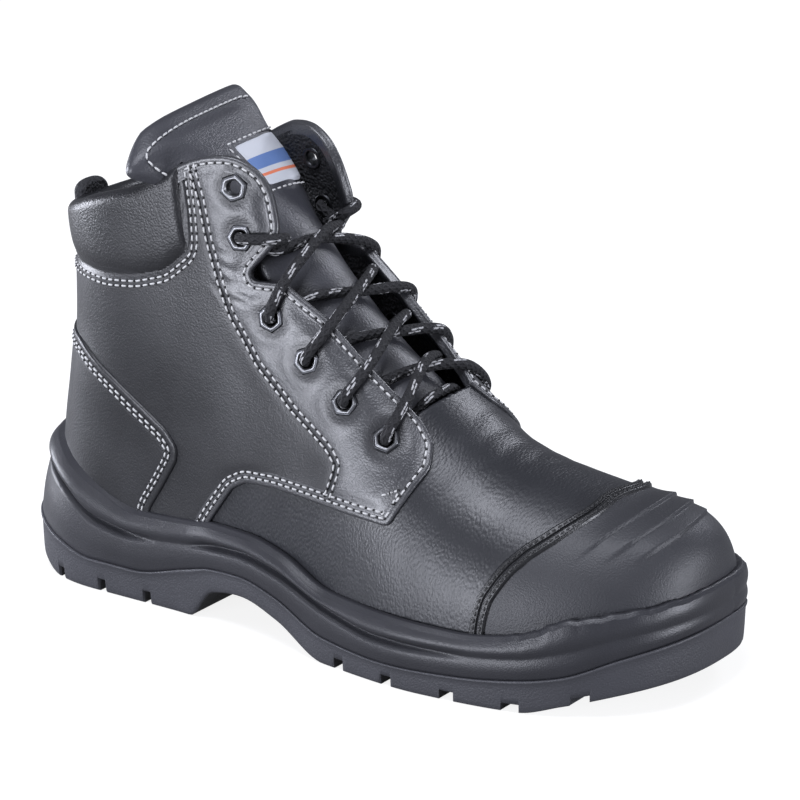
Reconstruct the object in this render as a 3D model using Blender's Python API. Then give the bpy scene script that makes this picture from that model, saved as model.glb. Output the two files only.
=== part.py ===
"""Right-foot safety boot, ankle height, laced, standing empty on its sole.

Lengths in the tables are millimetres with x from the back of the sole to the toe, z up from the
ground and y positive on the inner (medial) side. Meshes are written in metres, centred on the sole.
"""
import math

import bmesh
import bpy
import numpy as np
from mathutils import Matrix, Vector

for old in list(bpy.data.objects):
    bpy.data.objects.remove(old, do_unlink=True)

# Frame
MM = 0.001
SOLE_LENGTH = 308.0
CENTRE_X = SOLE_LENGTH / 2
CENTRE_Y = 2.15
LATERAL = -1
MEDIAL = 1

# Thicknesses and clearances
WALL = 2.4
GAP = 0.3
PANEL = 1.4
PAD = 2.8
INSOLE_THICK = 4.0
INSOLE_CLEAR = 1.2
TREAD_DEPTH = 4.5
TREAD_GROOVE = 5.0
LACE_RADIUS = 2.2
LACE_LIFT = 0.7
LACE_OVER = 2.3

# Eyelets
EYELET_RADIUS = 6.0
EYELET_HOLE = 2.9
EYELET_THICK = 1.3
HOLE_SIDES = 8

# Last: half widths either side of a bent axis, the ridge over the instep and how boxy a section is
LAST_COLUMNS = ("x", "lateral", "medial", "axis", "crest", "power")
LAST = (
    (8, 32.0, 33.0, 0.0, 440, 2.0),
    (40, 32.8, 33.6, 0.0, 388, 2.0),
    (70, 33.8, 33.5, 0.0, 335, 2.0),
    (90, 34.8, 33.6, 0.0, 296, 1.9),
    (105, 36.0, 35.4, 0.0, 262, 1.9),
    (123, 38.0, 38.2, 0.0, 213, 1.8),
    (150, 42.5, 43.2, 0.0, 153, 1.8),
    (175, 48.0, 46.6, 0.5, 119, 1.9),
    (200, 51.5, 47.6, 2.0, 95, 2.1),
    (225, 52.5, 47.5, 4.0, 81.5, 2.3),
    (250, 52.0, 48.0, 7.0, 75, 2.5),
    (275, 51.0, 48.0, 10.0, 71.0, 2.8),
    (304, 50.0, 48.5, 13.0, 69.6, 2.9),
)
TOE_X = 304.0
TOE_START = 228.0
TOE_POWER = 3.2
DOME_START = 258.0
DOME_POWER = 4.2
TIP_Z = 40.0
ARCH_BASE = 12.0
ARCH_ROUND = 2.1
HEEL_LENGTH = 46.0
HEEL_POWER = 2.2
SHAFT_HALF = 36.3
SHAFT_FADE = (100.0, 170.0)

# Back seam: how far forward it lies and how much of the section is shaft
BACK_COLUMNS = ("z", "x", "shaft")
BACK = (
    (15, 12.0, 0.0),
    (40, 12.5, 0.0),
    (60, 14.0, 0.0),
    (85, 18.0, 0.35),
    (110, 21.3, 0.8),
    (130, 21.8, 1.0),
    (150, 20.5, 1.0),
    (175, 19.0, 1.0),
    (215, 19.0, 1.0),
)

# Sole in plan, with the inward lean of the heel's sides, and its heights along the foot
SOLE_COLUMNS = ("x", "lateral", "medial", "axis", "rim_inset", "lean")
SOLE = (
    (0, 39.0, 39.0, 0.0, 4.0, 0.15),
    (42, 39.5, 39.5, 0.0, 3.4, 0.07),
    (85, 40.0, 38.0, 0.0, 3.0, 0.0),
    (125, 44.0, 38.0, 0.0, 3.5, 0.0),
    (170, 53.0, 46.5, 1.0, 4.0, 0.0),
    (215, 59.0, 53.5, 3.5, 3.5, 0.0),
    (255, 59.0, 54.0, 7.5, 2.5, 0.0),
    (308, 58.0, 53.0, 14.0, 0.8, 0.0),
)
SOLE_TOE_START = 225.0
SOLE_TOE_POWER = 2.6
HEIGHT_COLUMNS = ("x", "tread", "parting", "groove", "rim", "floor")
HEIGHTS = (
    (0, 6.0, 24.0, 48.0, 57.5, 32.0),
    (12, 3.0, 21.0, 45.0, 55.5, 31.5),
    (26, 0.0, 17.0, 39.5, 50.0, 31.0),
    (45, 0.0, 13.0, 30.0, 43.5, 30.0),
    (66, 0.0, 13.0, 27.5, 38.0, 30.0),
    (94, 0.0, 19.5, 30.0, 39.5, 30.5),
    (106, 12.5, 22.5, 32.0, 41.0, 31.0),
    (122, 15.0, 23.5, 33.0, 41.0, 31.0),
    (142, 10.5, 20.0, 30.5, 38.0, 28.0),
    (168, 0.0, 11.0, 23.0, 29.5, 20.0),
    (195, 0.0, 9.0, 18.5, 27.8, 17.0),
    (230, 0.0, 10.5, 19.5, 27.2, 17.5),
    (256, 0.0, 13.2, 22.0, 30.5, 20.0),
    (272, 4.0, 16.2, 26.0, 37.5, 24.0),
    (290, 8.6, 23.5, 32.0, 41.2, 29.5),
    (308, 12.5, 29.3, 36.0, 44.5, 33.0),
)
# Side rows of the sole: two of the heights, the share of the way between them, and the inset
MIDSOLE_SIDE = (
    ("parting", "groove", 0.0, 1.2),
    ("parting", "groove", 0.15, 0.2),
    ("parting", "groove", 0.82, 0.0),
    ("parting", "groove", 1.0, 1.6),
    ("groove", "rim", 0.22, 0.4),
    ("groove", "rim", 0.7, 1.0),
)
OUTSOLE_SIDE = (
    ("tread", "parting", 0.0, 2.4),
    ("tread", "parting", 0.3, 0.9),
    ("tread", "parting", 1.0, 0.5),
)
# Cross grooves between the tread lugs, by their place along the foot
GROOVE_X = (27.0, 50.0, 73.0, 176.0, 200.0, 227.0, 253.0, 278.0)

# Side-view outlines (x, z)
COLLAR_AND_THROAT = (
    (-20, 157.5), (16, 158), (30, 163.5), (44, 167.7), (55, 169.5), (70, 172.2), (78.7, 175.4), (85, 180.5),
    (93.3, 184.7), (105, 187.2), (114.4, 184.8), (121, 179.4), (126, 169.5), (128.2, 162), (128.2, 156),
    (118.7, 143.4), (120, 140.3), (133, 140.5), (151, 128.9), (171, 111.5), (184, 101.2), (189, 98.4),
    (193.5, 99.8), (197, 106), (330, 300), (-20, 300),
)
QUARTER = (
    (5, 132), (40, 132), (53, 131.9), (67, 133.9), (79.8, 138.1), (89.8, 147.5), (90.5, 152.1),
    (89.1, 162.5), (84.6, 179), (82, 200), (150, 200), (199, 91), (200.5, 86.5), (202.2, 80), (192.7, 59.1),
    (164.3, 60.9), (136.4, 61.9), (122.3, 60.9), (115.2, 56.9), (104.4, 41.6), (94, 40.2), (66, 38.7),
    (45, 44.2), (26, 51.2), (12, 58.8), (0, 61),
)
COUNTER = (
    (0, 104), (20, 103.5), (36.7, 100.9), (57, 90.2), (82.1, 74.2), (87.4, 68.1), (87.3, 62.3),
    (79.6, 49), (73.5, 39.3), (66, 38.7), (45, 44.2), (26, 51.2), (12, 58.8), (0, 61),
)
COLLAR_PAD = (
    (0, 133.1), (40, 133.1), (53, 133), (67, 135), (79, 139.1), (88.8, 148.2), (89.3, 152.1),
    (87.9, 162.5), (83.4, 178.8), (81, 200), (0, 200),
)
TOE_CAP = (
    (236.3, 28.4), (236.7, 41.7), (242.3, 54.8), (252.2, 63), (264.8, 72), (273, 80), (273, 120),
    (330, 120), (330, 49), (308, 47.6), (290, 42.6), (272, 38.1), (256, 31.1),
)
BACKSTAY = ((0, 104.6), (26, 104.6), (26, 131.6), (0, 131.6))
BACKSTAY_HALF = 6.0
BACK_TAB = ((0, 141), (22, 141), (22, 200), (0, 200))
BACK_TAB_HALF = 9.0

# Eyelets, bottom to top, as side-view places on both flaps
EYELETS = ((183.6, 88.7), (164.8, 100.0), (146.3, 113.1), (129.3, 127.1), (114.2, 156.4), (110.1, 175.3))

# Tongue sections from the top edge down: centre line, half width, fall of its edges and thickness
TONGUE_COLUMNS = ("x", "z", "half", "sag", "thick")
TONGUE = (
    (69.0, 196.0, 35.0, 1.5, 8.0),
    (76.0, 191.3, 36.0, 2.0, 8.5),
    (88.0, 183.0, 25.5, 3.0, 8.5),
    (106.0, 170.0, 23.0, 5.0, 8.0),
    (121.0, 157.5, 21.5, 8.0, 7.0),
    (138.0, 139.5, 22.5, 11.0, 6.5),
    (156.0, 122.5, 22.0, 12.5, 6.0),
    (168.5, 112.0, 21.5, 12.0, 6.0),
    (180.0, 102.6, 21.5, 9.5, 5.5),
    (191.0, 94.0, 21.5, 7.5, 5.0),
    (202.0, 87.5, 21.0, 6.0, 4.0),
)
TONGUE_FALL = 2.2
TONGUE_STATIONS = 15
TONGUE_ACROSS = 9
LABEL_SPAN = (0.13, 0.29)
LABEL_SIDE = (0.12, 0.72)
LABEL_THICK = 0.8

# Lace: the bar and the crossings, by their places along the tongue's centre line
LACE_HALF = 13.5
LACE_BAR_X = 186.0
LACE_BAR_HALF = 10.0
LACE_CROSSINGS = ((180.0, 172.0), (166.0, 157.5), (151.5, 141.0), (135.0, 121.0))

# Grids of the upper and the sole, and the angle above which an edge stays crisp
AROUND = 40
ROWS = 15
SOLE_AROUND = 52
CRISP_DEGREES = 35.0


def column(table, names, name):
    """One named column of a table as an array."""
    return np.array([row[names.index(name)] for row in table], float)


def smooth(stations, values, at):
    """Monotone cubic through a table, level beyond its ends."""
    at = np.clip(at, stations[0], stations[-1])
    step = np.diff(stations)
    slope = np.diff(values) / step
    tangent = np.zeros_like(values)
    tangent[0] = slope[0]
    tangent[-1] = slope[-1]
    ahead = 2 * step[1:] + step[:-1]
    behind = step[1:] + 2 * step[:-1]
    turning = slope[:-1] * slope[1:] <= 0
    safe_low = np.where(turning, 1.0, slope[:-1])
    safe_high = np.where(turning, 1.0, slope[1:])
    mean = (ahead + behind) / (ahead / safe_low + behind / safe_high)
    tangent[1:-1] = np.where(turning, 0.0, mean)
    i = np.clip(np.searchsorted(stations, at, side="right") - 1, 0, len(stations) - 2)
    t = (at - stations[i]) / step[i]
    rise = t * t * (3 - 2 * t)
    bend = t * (1 - t) * step[i] * ((1 - t) * tangent[i] - t * tangent[i + 1])
    return values[i] + rise * (values[i + 1] - values[i]) + bend


def last(name, x):
    return smooth(column(LAST, LAST_COLUMNS, "x"), column(LAST, LAST_COLUMNS, name), x)


def back(name, z):
    return smooth(column(BACK, BACK_COLUMNS, "z"), column(BACK, BACK_COLUMNS, name), z)


def sole(name, x):
    return smooth(column(SOLE, SOLE_COLUMNS, "x"), column(SOLE, SOLE_COLUMNS, name), x)


def height(name, x):
    return smooth(column(HEIGHTS, HEIGHT_COLUMNS, "x"), column(HEIGHTS, HEIGHT_COLUMNS, name), x)


def ease(t):
    t = np.clip(t, 0.0, 1.0)
    return t * t * (3 - 2 * t)


def rounded(t, power):
    """Quarter of a superellipse: 1 at t = 0, falling to 0 at t = 1."""
    return np.maximum(1 - np.clip(t, 0.0, 1.0) ** power, 0.0) ** (1 / power)


def crest(x):
    """Height of the ridge over the foot, rounded down over the toe."""
    fall = rounded((x - DOME_START) / (TOE_X - DOME_START), DOME_POWER)
    return TIP_Z + (last("crest", x) - TIP_Z) * fall


def half_width(x, z, side):
    """Distance of the upper's outer face from the bent axis, seen as a function of the side view."""
    wide = np.where(side < 0, last("lateral", x), last("medial", x))
    wide = wide * rounded((x - TOE_START) / (TOE_X - TOE_START), TOE_POWER)
    shaft = back("shaft", z) * (1 - ease((x - SHAFT_FADE[0]) / (SHAFT_FADE[1] - SHAFT_FADE[0])))
    wide = wide + (SHAFT_HALF - wide) * shaft
    heel = rounded((back("x", z) + HEEL_LENGTH - x) / HEEL_LENGTH, HEEL_POWER)
    climb = np.clip((z - ARCH_BASE) / (crest(x) - ARCH_BASE), 0.0, 1.0)
    arch = np.maximum(1 - climb ** last("power", x), 0.0) ** (1 / ARCH_ROUND)
    return wide * heel * arch


def inside_upper(x, y, z):
    axis = last("axis", x)
    within = np.abs(y - axis) < half_width(x, z, np.where(y < axis, LATERAL, MEDIAL))
    return within & (x < TOE_X) & (x > back("x", z)) & (z < crest(x))


LOW_BACK_Z = 37.0
TOP_BACK_Z = 192.0
TOP_FRONT_X = 122.0


def front_line(v):
    """Toe wall, then the ridge from the toe to the top of the throat, by share of its length."""
    turn = np.linspace(0.0, math.pi / 2, 300)
    x = TOE_X - (TOE_X - TOP_FRONT_X) * (1 - np.cos(turn))
    wall = np.linspace(float(height("floor", TOE_X)) + GAP, TIP_Z, 12, endpoint=False)
    z = np.concatenate([wall, crest(x)])
    x = np.concatenate([np.full(12, TOE_X), x])
    run = np.concatenate([[0.0], np.cumsum(np.hypot(np.diff(x), np.diff(z)))])
    return np.interp(v, run / run[-1], x), np.interp(v, run / run[-1], z)


def upper_points(u, v):
    """Outer face of the upper: u once round from the back seam, v from the sole to the top.

    A rough ring is drawn from the back line to the front line, and each of its points is moved along
    the ray from the middle of the boot until it lies on the outer face.
    """
    front_x, front_z = front_line(v)
    back_z = LOW_BACK_Z + (TOP_BACK_Z - LOW_BACK_Z) * v ** 1.3
    back_x = back("x", back_z)
    along = (1 - np.cos(2 * math.pi * u)) / 2
    x = back_x + (front_x - back_x) * along
    y = -40 * np.sin(2 * math.pi * u)
    z = back_z + (front_z - back_z) * along ** (1 + 2.0 * (1 - v))
    base = height("floor", x) + GAP
    z = z + (base - z) * (1 - np.clip(v / 0.12, 0, 1))
    from_x = np.clip(x, 55, np.interp(z, (0, 60, 100, 215), (258, 240, 150, 60)))
    from_y = last("axis", from_x)
    from_z = z - np.maximum(z - 45, 0) * ease((x - 110) / 90)
    ray = np.stack([x - from_x, y, z - from_z])
    ray = ray / np.linalg.norm(ray, axis=0)
    near = np.zeros_like(x)
    far = np.full_like(x, 220.0)
    for _ in range(36):
        mid = (near + far) / 2
        within = inside_upper(from_x + ray[0] * mid, from_y + ray[1] * mid, from_z + ray[2] * mid)
        near = np.where(within, mid, near)
        far = np.where(within, far, mid)
    return np.stack([from_x + ray[0] * near, from_y + ray[1] * near, from_z + ray[2] * near], -1)


def upper_grid():
    """Points and outward normals of the outer face on the shared grid."""
    u, v = np.meshgrid(np.arange(AROUND) / AROUND, np.linspace(0, 1, ROWS), indexing="ij")
    points = upper_points(u, v)
    step = 0.004
    across = upper_points(u + step, v) - upper_points(u - step, v)
    up = upper_points(u, np.minimum(v + step, 1)) - upper_points(u, np.maximum(v - step, 0))
    normals = np.cross(across, up)
    normals /= np.linalg.norm(normals, axis=-1, keepdims=True)
    level = normals[:, 0].copy()
    level[:, 2] = 0
    normals[:, 0] = level / np.linalg.norm(level, axis=-1, keepdims=True)
    return points, normals


PARTS = bpy.data.collections.new("safety_boot")
CUTTERS = bpy.data.collections.new("cutters")
bpy.context.scene.collection.children.link(PARTS)
bpy.context.scene.collection.children.link(CUTTERS)


def material(name, colour, roughness, metallic=0.0):
    made = bpy.data.materials.new(name)
    made.use_nodes = True
    shader = made.node_tree.nodes["Principled BSDF"]
    shader.inputs["Base Color"].default_value = (*colour, 1.0)
    shader.inputs["Roughness"].default_value = roughness
    shader.inputs["Metallic"].default_value = metallic
    made.diffuse_color = (*colour, 1.0)
    return made


LEATHER = material("upper_leather", (0.055, 0.056, 0.06), 0.5)
PANEL_LEATHER = material("panel_leather", (0.065, 0.066, 0.07), 0.45)
CAP_LEATHER = material("cap_leather", (0.06, 0.06, 0.065), 0.55)
PAD_LEATHER = material("pad_leather", (0.045, 0.045, 0.05), 0.55)
LABEL = material("label_fabric", (0.7, 0.72, 0.75), 0.8)
FOAM = material("midsole_pu", (0.07, 0.071, 0.075), 0.7)
RUBBER = material("outsole_rubber", (0.05, 0.05, 0.053), 0.75)
LINING = material("insole_fabric", (0.08, 0.08, 0.085), 0.9)
METAL = material("eyelet_metal", (0.35, 0.36, 0.38), 0.3, 1.0)
CORD = material("lace_cord", (0.05, 0.05, 0.055), 0.85)


def place(name, data, look=None):
    """Object of a mesh: parts have a look, cutters have none and stay hidden."""
    made = bpy.data.objects.new(name, data)
    if look is None:
        made.hide_render = True
        made.display_type = "WIRE"
        CUTTERS.objects.link(made)
    else:
        data.materials.clear()
        data.materials.append(look)
        PARTS.objects.link(made)
    tidy(made)
    return made


def mesh_object(name, points, faces, look=None):
    """A lofted form from its millimetre points."""
    placed = (np.asarray(points, float).reshape(-1, 3) - (CENTRE_X, CENTRE_Y, 0.0)) * MM
    data = bpy.data.meshes.new(name)
    data.from_pydata(placed.tolist(), [], faces)
    return place(name, data, look)


def curve_mesh(name, curve):
    """Mesh drawn by a curve."""
    drawn = bpy.data.objects.new(name + "_line", curve)
    CUTTERS.objects.link(drawn)
    bpy.context.view_layer.update()
    data = bpy.data.meshes.new_from_object(drawn.evaluated_get(bpy.context.evaluated_depsgraph_get()))
    bpy.data.objects.remove(drawn, do_unlink=True)
    return data


def tidy(made):
    """Weld, drop slivers and turn all faces outward."""
    shape = bmesh.new()
    shape.from_mesh(made.data)
    bmesh.ops.remove_doubles(shape, verts=shape.verts, dist=2e-6)
    bmesh.ops.dissolve_degenerate(shape, edges=shape.edges, dist=2e-6)
    bmesh.ops.recalc_face_normals(shape, faces=shape.faces)
    shape.to_mesh(made.data)
    shape.free()


def combine(made, cutter, operation):
    """Apply a Boolean to a part; the cutter stays, hidden."""
    step = made.modifiers.new(operation.lower(), "BOOLEAN")
    step.operation = operation
    step.solver = "EXACT"
    step.object = cutter
    bpy.context.view_layer.update()
    shaped = made.evaluated_get(bpy.context.evaluated_depsgraph_get())
    data = bpy.data.meshes.new_from_object(shaped)
    made.modifiers.clear()
    made.data = data
    tidy(made)


def ring_faces(count, rows, flip=False):
    """Triangles of a grid that closes round its first direction, all split along the same diagonal."""
    faces = []
    for i in range(count):
        j = (i + 1) % count
        for k in range(rows - 1):
            low_here, low_next = i * rows + k, j * rows + k
            for face in ((low_here, low_next, low_next + 1), (low_here, low_next + 1, low_here + 1)):
                faces.append(face[::-1] if flip else face)
    return faces


POINTS, NORMALS = upper_grid()


def shell(name, low, high, look=None):
    """Wall between two offsets of the upper's outer face, open at the top and underneath."""
    outer = POINTS + NORMALS * high
    inner = POINTS + NORMALS * low
    for face in (outer, inner):
        face[:, 0, 2] = height("floor", face[:, 0, 0]) + GAP
    count = AROUND * ROWS
    faces = ring_faces(AROUND, ROWS)
    faces += [tuple(i + count for i in quad) for quad in ring_faces(AROUND, ROWS, True)]
    for i in range(AROUND):
        j = (i + 1) % AROUND
        for k in (0, ROWS - 1):
            rim = (i * ROWS + k, i * ROWS + k + count, j * ROWS + k + count, j * ROWS + k)
            faces.append(rim if k == 0 else rim[::-1])
    return mesh_object(name, np.concatenate([outer.reshape(-1, 3), inner.reshape(-1, 3)]), faces, look)


def foot_form(name, offset):
    """Solid of the lower boot: the outer face moved out, closed flat over the instep and underneath."""
    rows = 10
    wall = POINTS[:, :rows] + NORMALS[:, :rows] * offset
    wall[:, 0, 2] = height("floor", wall[:, 0, 0])
    faces = ring_faces(AROUND, rows)
    for k, turn in ((0, 1), (rows - 1, -1)):
        for i in range(AROUND // 2):
            j = i + 1
            loop = [i, j, AROUND - j, (AROUND - i) % AROUND]
            loop = list(dict.fromkeys(loop))
            faces.append(tuple(p * rows + k for p in loop)[::turn])
    return mesh_object(name, wall, faces)


def prism(name, outline, low_y, high_y):
    """Side-view outline as a filled flat curve, drawn out across the boot."""
    curve = bpy.data.curves.new(name, "CURVE")
    curve.dimensions = "2D"
    curve.fill_mode = "BOTH"
    curve.extrude = (high_y - low_y) / 2 * MM
    line = curve.splines.new("POLY")
    line.points.add(len(outline) - 1)
    for knot, (x, z) in zip(line.points, outline):
        knot.co = ((x - CENTRE_X) * MM, z * MM, 0.0, 1.0)
    line.use_cyclic_u = True
    data = curve_mesh(name, curve)
    middle = Vector((0.0, ((low_y + high_y) / 2 - CENTRE_Y) * MM, 0.0))
    data.transform(Matrix.Translation(middle) @ Matrix.Rotation(math.pi / 2, 4, "X"))
    return place(name, data)


def box(name, low, high):
    """Box between two corners."""
    low = (Vector(low) - Vector((CENTRE_X, CENTRE_Y, 0.0))) * MM
    high = (Vector(high) - Vector((CENTRE_X, CENTRE_Y, 0.0))) * MM
    shape = bmesh.new()
    sized = Matrix.Diagonal((*(high - low), 1.0))
    bmesh.ops.create_cube(shape, size=1.0, matrix=Matrix.Translation((low + high) / 2) @ sized)
    data = bpy.data.meshes.new(name)
    shape.to_mesh(data)
    shape.free()
    return place(name, data)


def sole_ring(inset, count):
    """Plan outline of the sole, drawn in by an inset that may change along the foot."""
    turn = 2 * math.pi * np.arange(count) / count
    along = (1 - np.cos(turn)) / 2
    x = SOLE_LENGTH * along
    side = np.where(turn <= math.pi, LATERAL, MEDIAL)
    wide = np.where(side < 0, sole("lateral", x), sole("medial", x))
    wide = wide * rounded((x - SOLE_TOE_START) / (SOLE_LENGTH - SOLE_TOE_START), SOLE_TOE_POWER)
    wide = wide * rounded((HEEL_LENGTH - x) / HEEL_LENGTH, HEEL_POWER)
    shrink = inset(x) if callable(inset) else inset
    drawn_x = CENTRE_X + (x - CENTRE_X) * (1 - shrink / CENTRE_X)
    return drawn_x, sole("axis", x) + side * np.maximum(wide - shrink * np.minimum(wide / 12, 1), 0)


def sole_loft(name, side_rows, lift, top_inset, look):
    """Solid with the sole's outline whose rows follow the named heights along the foot."""
    rings = []
    for low, high, share, inset in side_rows:
        level = lambda at: height(low, at) + share * (height(high, at) - height(low, at))
        lean = lambda at: inset + sole("lean", at) * np.maximum(level(at) - height("parting", at), 0)
        x, y = sole_ring(lean, SOLE_AROUND)
        rings.append(np.stack([x, y, level(x)], -1))
    if top_inset:
        rise = lambda at: height("rim", at) - height("parting", at)
        x, y = sole_ring(lambda at: sole("rim_inset", at) + sole("lean", at) * rise(at), SOLE_AROUND)
        rings.append(np.stack([x, y, height("rim", x)], -1))
    grid = np.stack(rings, 1)
    grid[:, 0, 2] += lift
    rows = grid.shape[1]
    faces = ring_faces(SOLE_AROUND, rows)
    for k, turn in ((0, 1), (rows - 1, -1)):
        for i in range(SOLE_AROUND // 2):
            j = i + 1
            loop = list(dict.fromkeys([i, j, SOLE_AROUND - j, (SOLE_AROUND - i) % SOLE_AROUND]))
            faces.append(tuple(p * rows + k for p in loop)[::turn])
    return mesh_object(name, grid, faces, look)


# Sole
midsole = sole_loft("midsole", MIDSOLE_SIDE, GAP, True, FOAM)
combine(midsole, foot_form("cup", GAP + 0.1), "DIFFERENCE")
outsole = sole_loft("outsole", OUTSOLE_SIDE, 0.0, False, RUBBER)
for number, groove_x in enumerate(GROOVE_X):
    tread = float(height("tread", groove_x))
    low = (groove_x - TREAD_GROOVE / 2, -90, tread - 20)
    high = (groove_x + TREAD_GROOVE / 2, 90, tread + TREAD_DEPTH)
    combine(outsole, box(f"groove_{number}", low, high), "DIFFERENCE")

# Insole, inside the wall and on the cup floor
bed = POINTS[:, 0] - NORMALS[:, 0] * (WALL + INSOLE_CLEAR)
bed_low = np.stack([bed[:, 0], bed[:, 1], height("floor", bed[:, 0]) + GAP], -1)
bed_grid = np.stack([bed_low, bed_low + (0.0, 0.0, INSOLE_THICK)], 1)
bed_faces = ring_faces(AROUND, 2)
for k, turn in ((0, 1), (1, -1)):
    for i in range(AROUND // 2):
        loop = list(dict.fromkeys([i, i + 1, AROUND - i - 1, (AROUND - i) % AROUND]))
        bed_faces.append(tuple(p * 2 + k for p in loop)[::turn])
mesh_object("insole", bed_grid, bed_faces, LINING)

# Upper and the panels laid on it
throat = prism("throat", COLLAR_AND_THROAT, -90, 90)
upper = shell("upper", -WALL, 0.0, LEATHER)
combine(upper, throat, "DIFFERENCE")


def overlay(name, outline, low, thick, low_y, high_y, look):
    """Panel of even thickness on the upper, bounded by a side-view outline."""
    panel = shell(name, low, low + thick, look)
    combine(panel, prism(name + "_outline", outline, low_y, high_y), "INTERSECT")
    combine(panel, throat, "DIFFERENCE")
    return panel


quarters = {
    LATERAL: overlay("quarter_lateral", QUARTER, GAP, PANEL, -90, -GAP, PANEL_LEATHER),
    MEDIAL: overlay("quarter_medial", QUARTER, GAP, PANEL, GAP, 90, PANEL_LEATHER),
}
second = 2 * GAP + PANEL
overlay("heel_counter", COUNTER, second, PANEL, -90, 90, PANEL_LEATHER)
overlay("toe_cap", TOE_CAP, GAP, PANEL, -90, 90, CAP_LEATHER)
overlay("collar_pad", COLLAR_PAD, GAP, PAD, -90, 90, PAD_LEATHER)
overlay("backstay", BACKSTAY, second, PANEL, -BACKSTAY_HALF, BACKSTAY_HALF, PANEL_LEATHER)
overlay("back_tab", BACK_TAB, 2 * GAP + PAD, PANEL, -BACK_TAB_HALF, BACK_TAB_HALF, PANEL_LEATHER)


def flap_frame(spot, side):
    """Point on the outer face at a side-view place, with its outward normal and two tangents."""
    x, z = spot
    reach = lambda at_x, at_z: float(last("axis", at_x) + side * half_width(at_x, at_z, side))
    here = Vector((x, reach(x, z), z))
    along = Vector((2.0, reach(x + 1, z) - reach(x - 1, z), 0.0))
    up = Vector((0.0, reach(x, z + 1) - reach(x, z - 1), 2.0))
    out = along.cross(up).normalized()
    if out.y * side < 0:
        out = -out
    along = along.normalized()
    return here, out, along, out.cross(along)


def drums(name, frames, low, high, radius, sides, look=None):
    """Short cylinders standing on a flap, as one mesh."""
    shape = bmesh.new()
    for here, out, along, up in frames:
        middle = (here + out * ((low + high) / 2) - Vector((CENTRE_X, CENTRE_Y, 0.0))) * MM
        axes = Matrix((-up, along, out)).transposed().to_4x4()
        bmesh.ops.create_cone(shape, cap_ends=True, segments=sides, radius1=radius * MM, radius2=radius * MM,
                              depth=(high - low) * MM, matrix=Matrix.Translation(middle) @ axes)
    data = bpy.data.meshes.new(name)
    shape.to_mesh(data)
    shape.free()
    return place(name, data, look)


# Eyelets through the flaps
seat = 3 * GAP + PANEL
for side, label in ((LATERAL, "lateral"), (MEDIAL, "medial")):
    frames = [flap_frame(at, side) for at in EYELETS]
    for number, frame in enumerate(frames, 1):
        ring = drums(f"eyelet_{label}_{number}", [frame], seat, seat + EYELET_THICK, EYELET_RADIUS, 6, METAL)
        bore = drums(f"bore_{label}_{number}", [frame], seat - 4, seat + 6, EYELET_HOLE, HOLE_SIDES)
        combine(ring, bore, "DIFFERENCE")
    holes = drums(f"holes_{label}", frames, -9, 9, EYELET_HOLE, HOLE_SIDES)
    combine(upper, holes, "DIFFERENCE")
    combine(quarters[side], holes, "DIFFERENCE")

# Tongue
TONGUE_X = column(TONGUE, TONGUE_COLUMNS, "x")
TONGUE_RUN = np.concatenate([[0.0], np.cumsum(np.hypot(np.diff(TONGUE_X),
                                                       np.diff(column(TONGUE, TONGUE_COLUMNS, "z"))))])
TONGUE_RUN /= TONGUE_RUN[-1]


def tongue(name, s):
    return smooth(TONGUE_RUN, column(TONGUE, TONGUE_COLUMNS, name), s)


def tongue_points(s, across, depth):
    """Point of the tongue: s down its length, across from -1 lateral to 1 medial, depth under its face."""
    step = 0.01
    run_x = tongue("x", s + step) - tongue("x", s - step)
    run_z = tongue("z", s + step) - tongue("z", s - step)
    length = np.hypot(run_x, run_z)
    out_x = -run_z / length
    out_z = run_x / length
    fall = tongue("sag", s) * np.abs(across) ** TONGUE_FALL + depth
    y = last("axis", tongue("x", s)) + across * tongue("half", s)
    return np.stack([tongue("x", s) - out_x * fall, y, tongue("z", s) - out_z * fall], -1)


def slab(name, s_span, across_span, stations, columns_across, low, high, look):
    """Closed sheet on the tongue between two depths under its face."""
    s, a = np.meshgrid(np.linspace(*s_span, stations), np.linspace(*across_span, columns_across),
                       indexing="ij")
    rim = 1 - 0.55 * np.clip((np.abs(a) - 0.75) / 0.25, 0, 1) if high is None else 1.0
    deep = tongue("thick", s) * rim if high is None else np.full_like(s, high)
    faces_of = np.stack([tongue_points(s, a, np.full_like(s, low)), tongue_points(s, a, deep)], 0)
    index = np.arange(2 * stations * columns_across).reshape(2, stations, columns_across)
    faces = []
    for i in range(stations - 1):
        for j in range(columns_across - 1):
            for layer, turn in ((0, 1), (1, -1)):
                q = index[layer, i:i + 2, j:j + 2]
                faces.append(tuple(int(n) for n in (q[0, 0], q[1, 0], q[1, 1], q[0, 1]))[::turn])
    top = index[0]
    border = [*top[0, :], *top[1:, -1], *top[-1, -2::-1], *top[-2:0:-1, 0]]
    layer = stations * columns_across
    for here, there in zip(border, border[1:] + border[:1]):
        faces.append((int(here), int(there), int(there + layer), int(here + layer)))
    return mesh_object(name, faces_of, faces, look)


slab("tongue", (0, 1), (-1, 1), TONGUE_STATIONS, TONGUE_ACROSS, 0.0, None, PAD_LEATHER)
slab("tongue_label", LABEL_SPAN, LABEL_SIDE, 5, 5, -GAP - LABEL_THICK, -GAP, LABEL)


def station(x):
    """Share of the tongue's length at a place on its centre line."""
    return float(np.interp(x, TONGUE_X, TONGUE_RUN))


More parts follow.
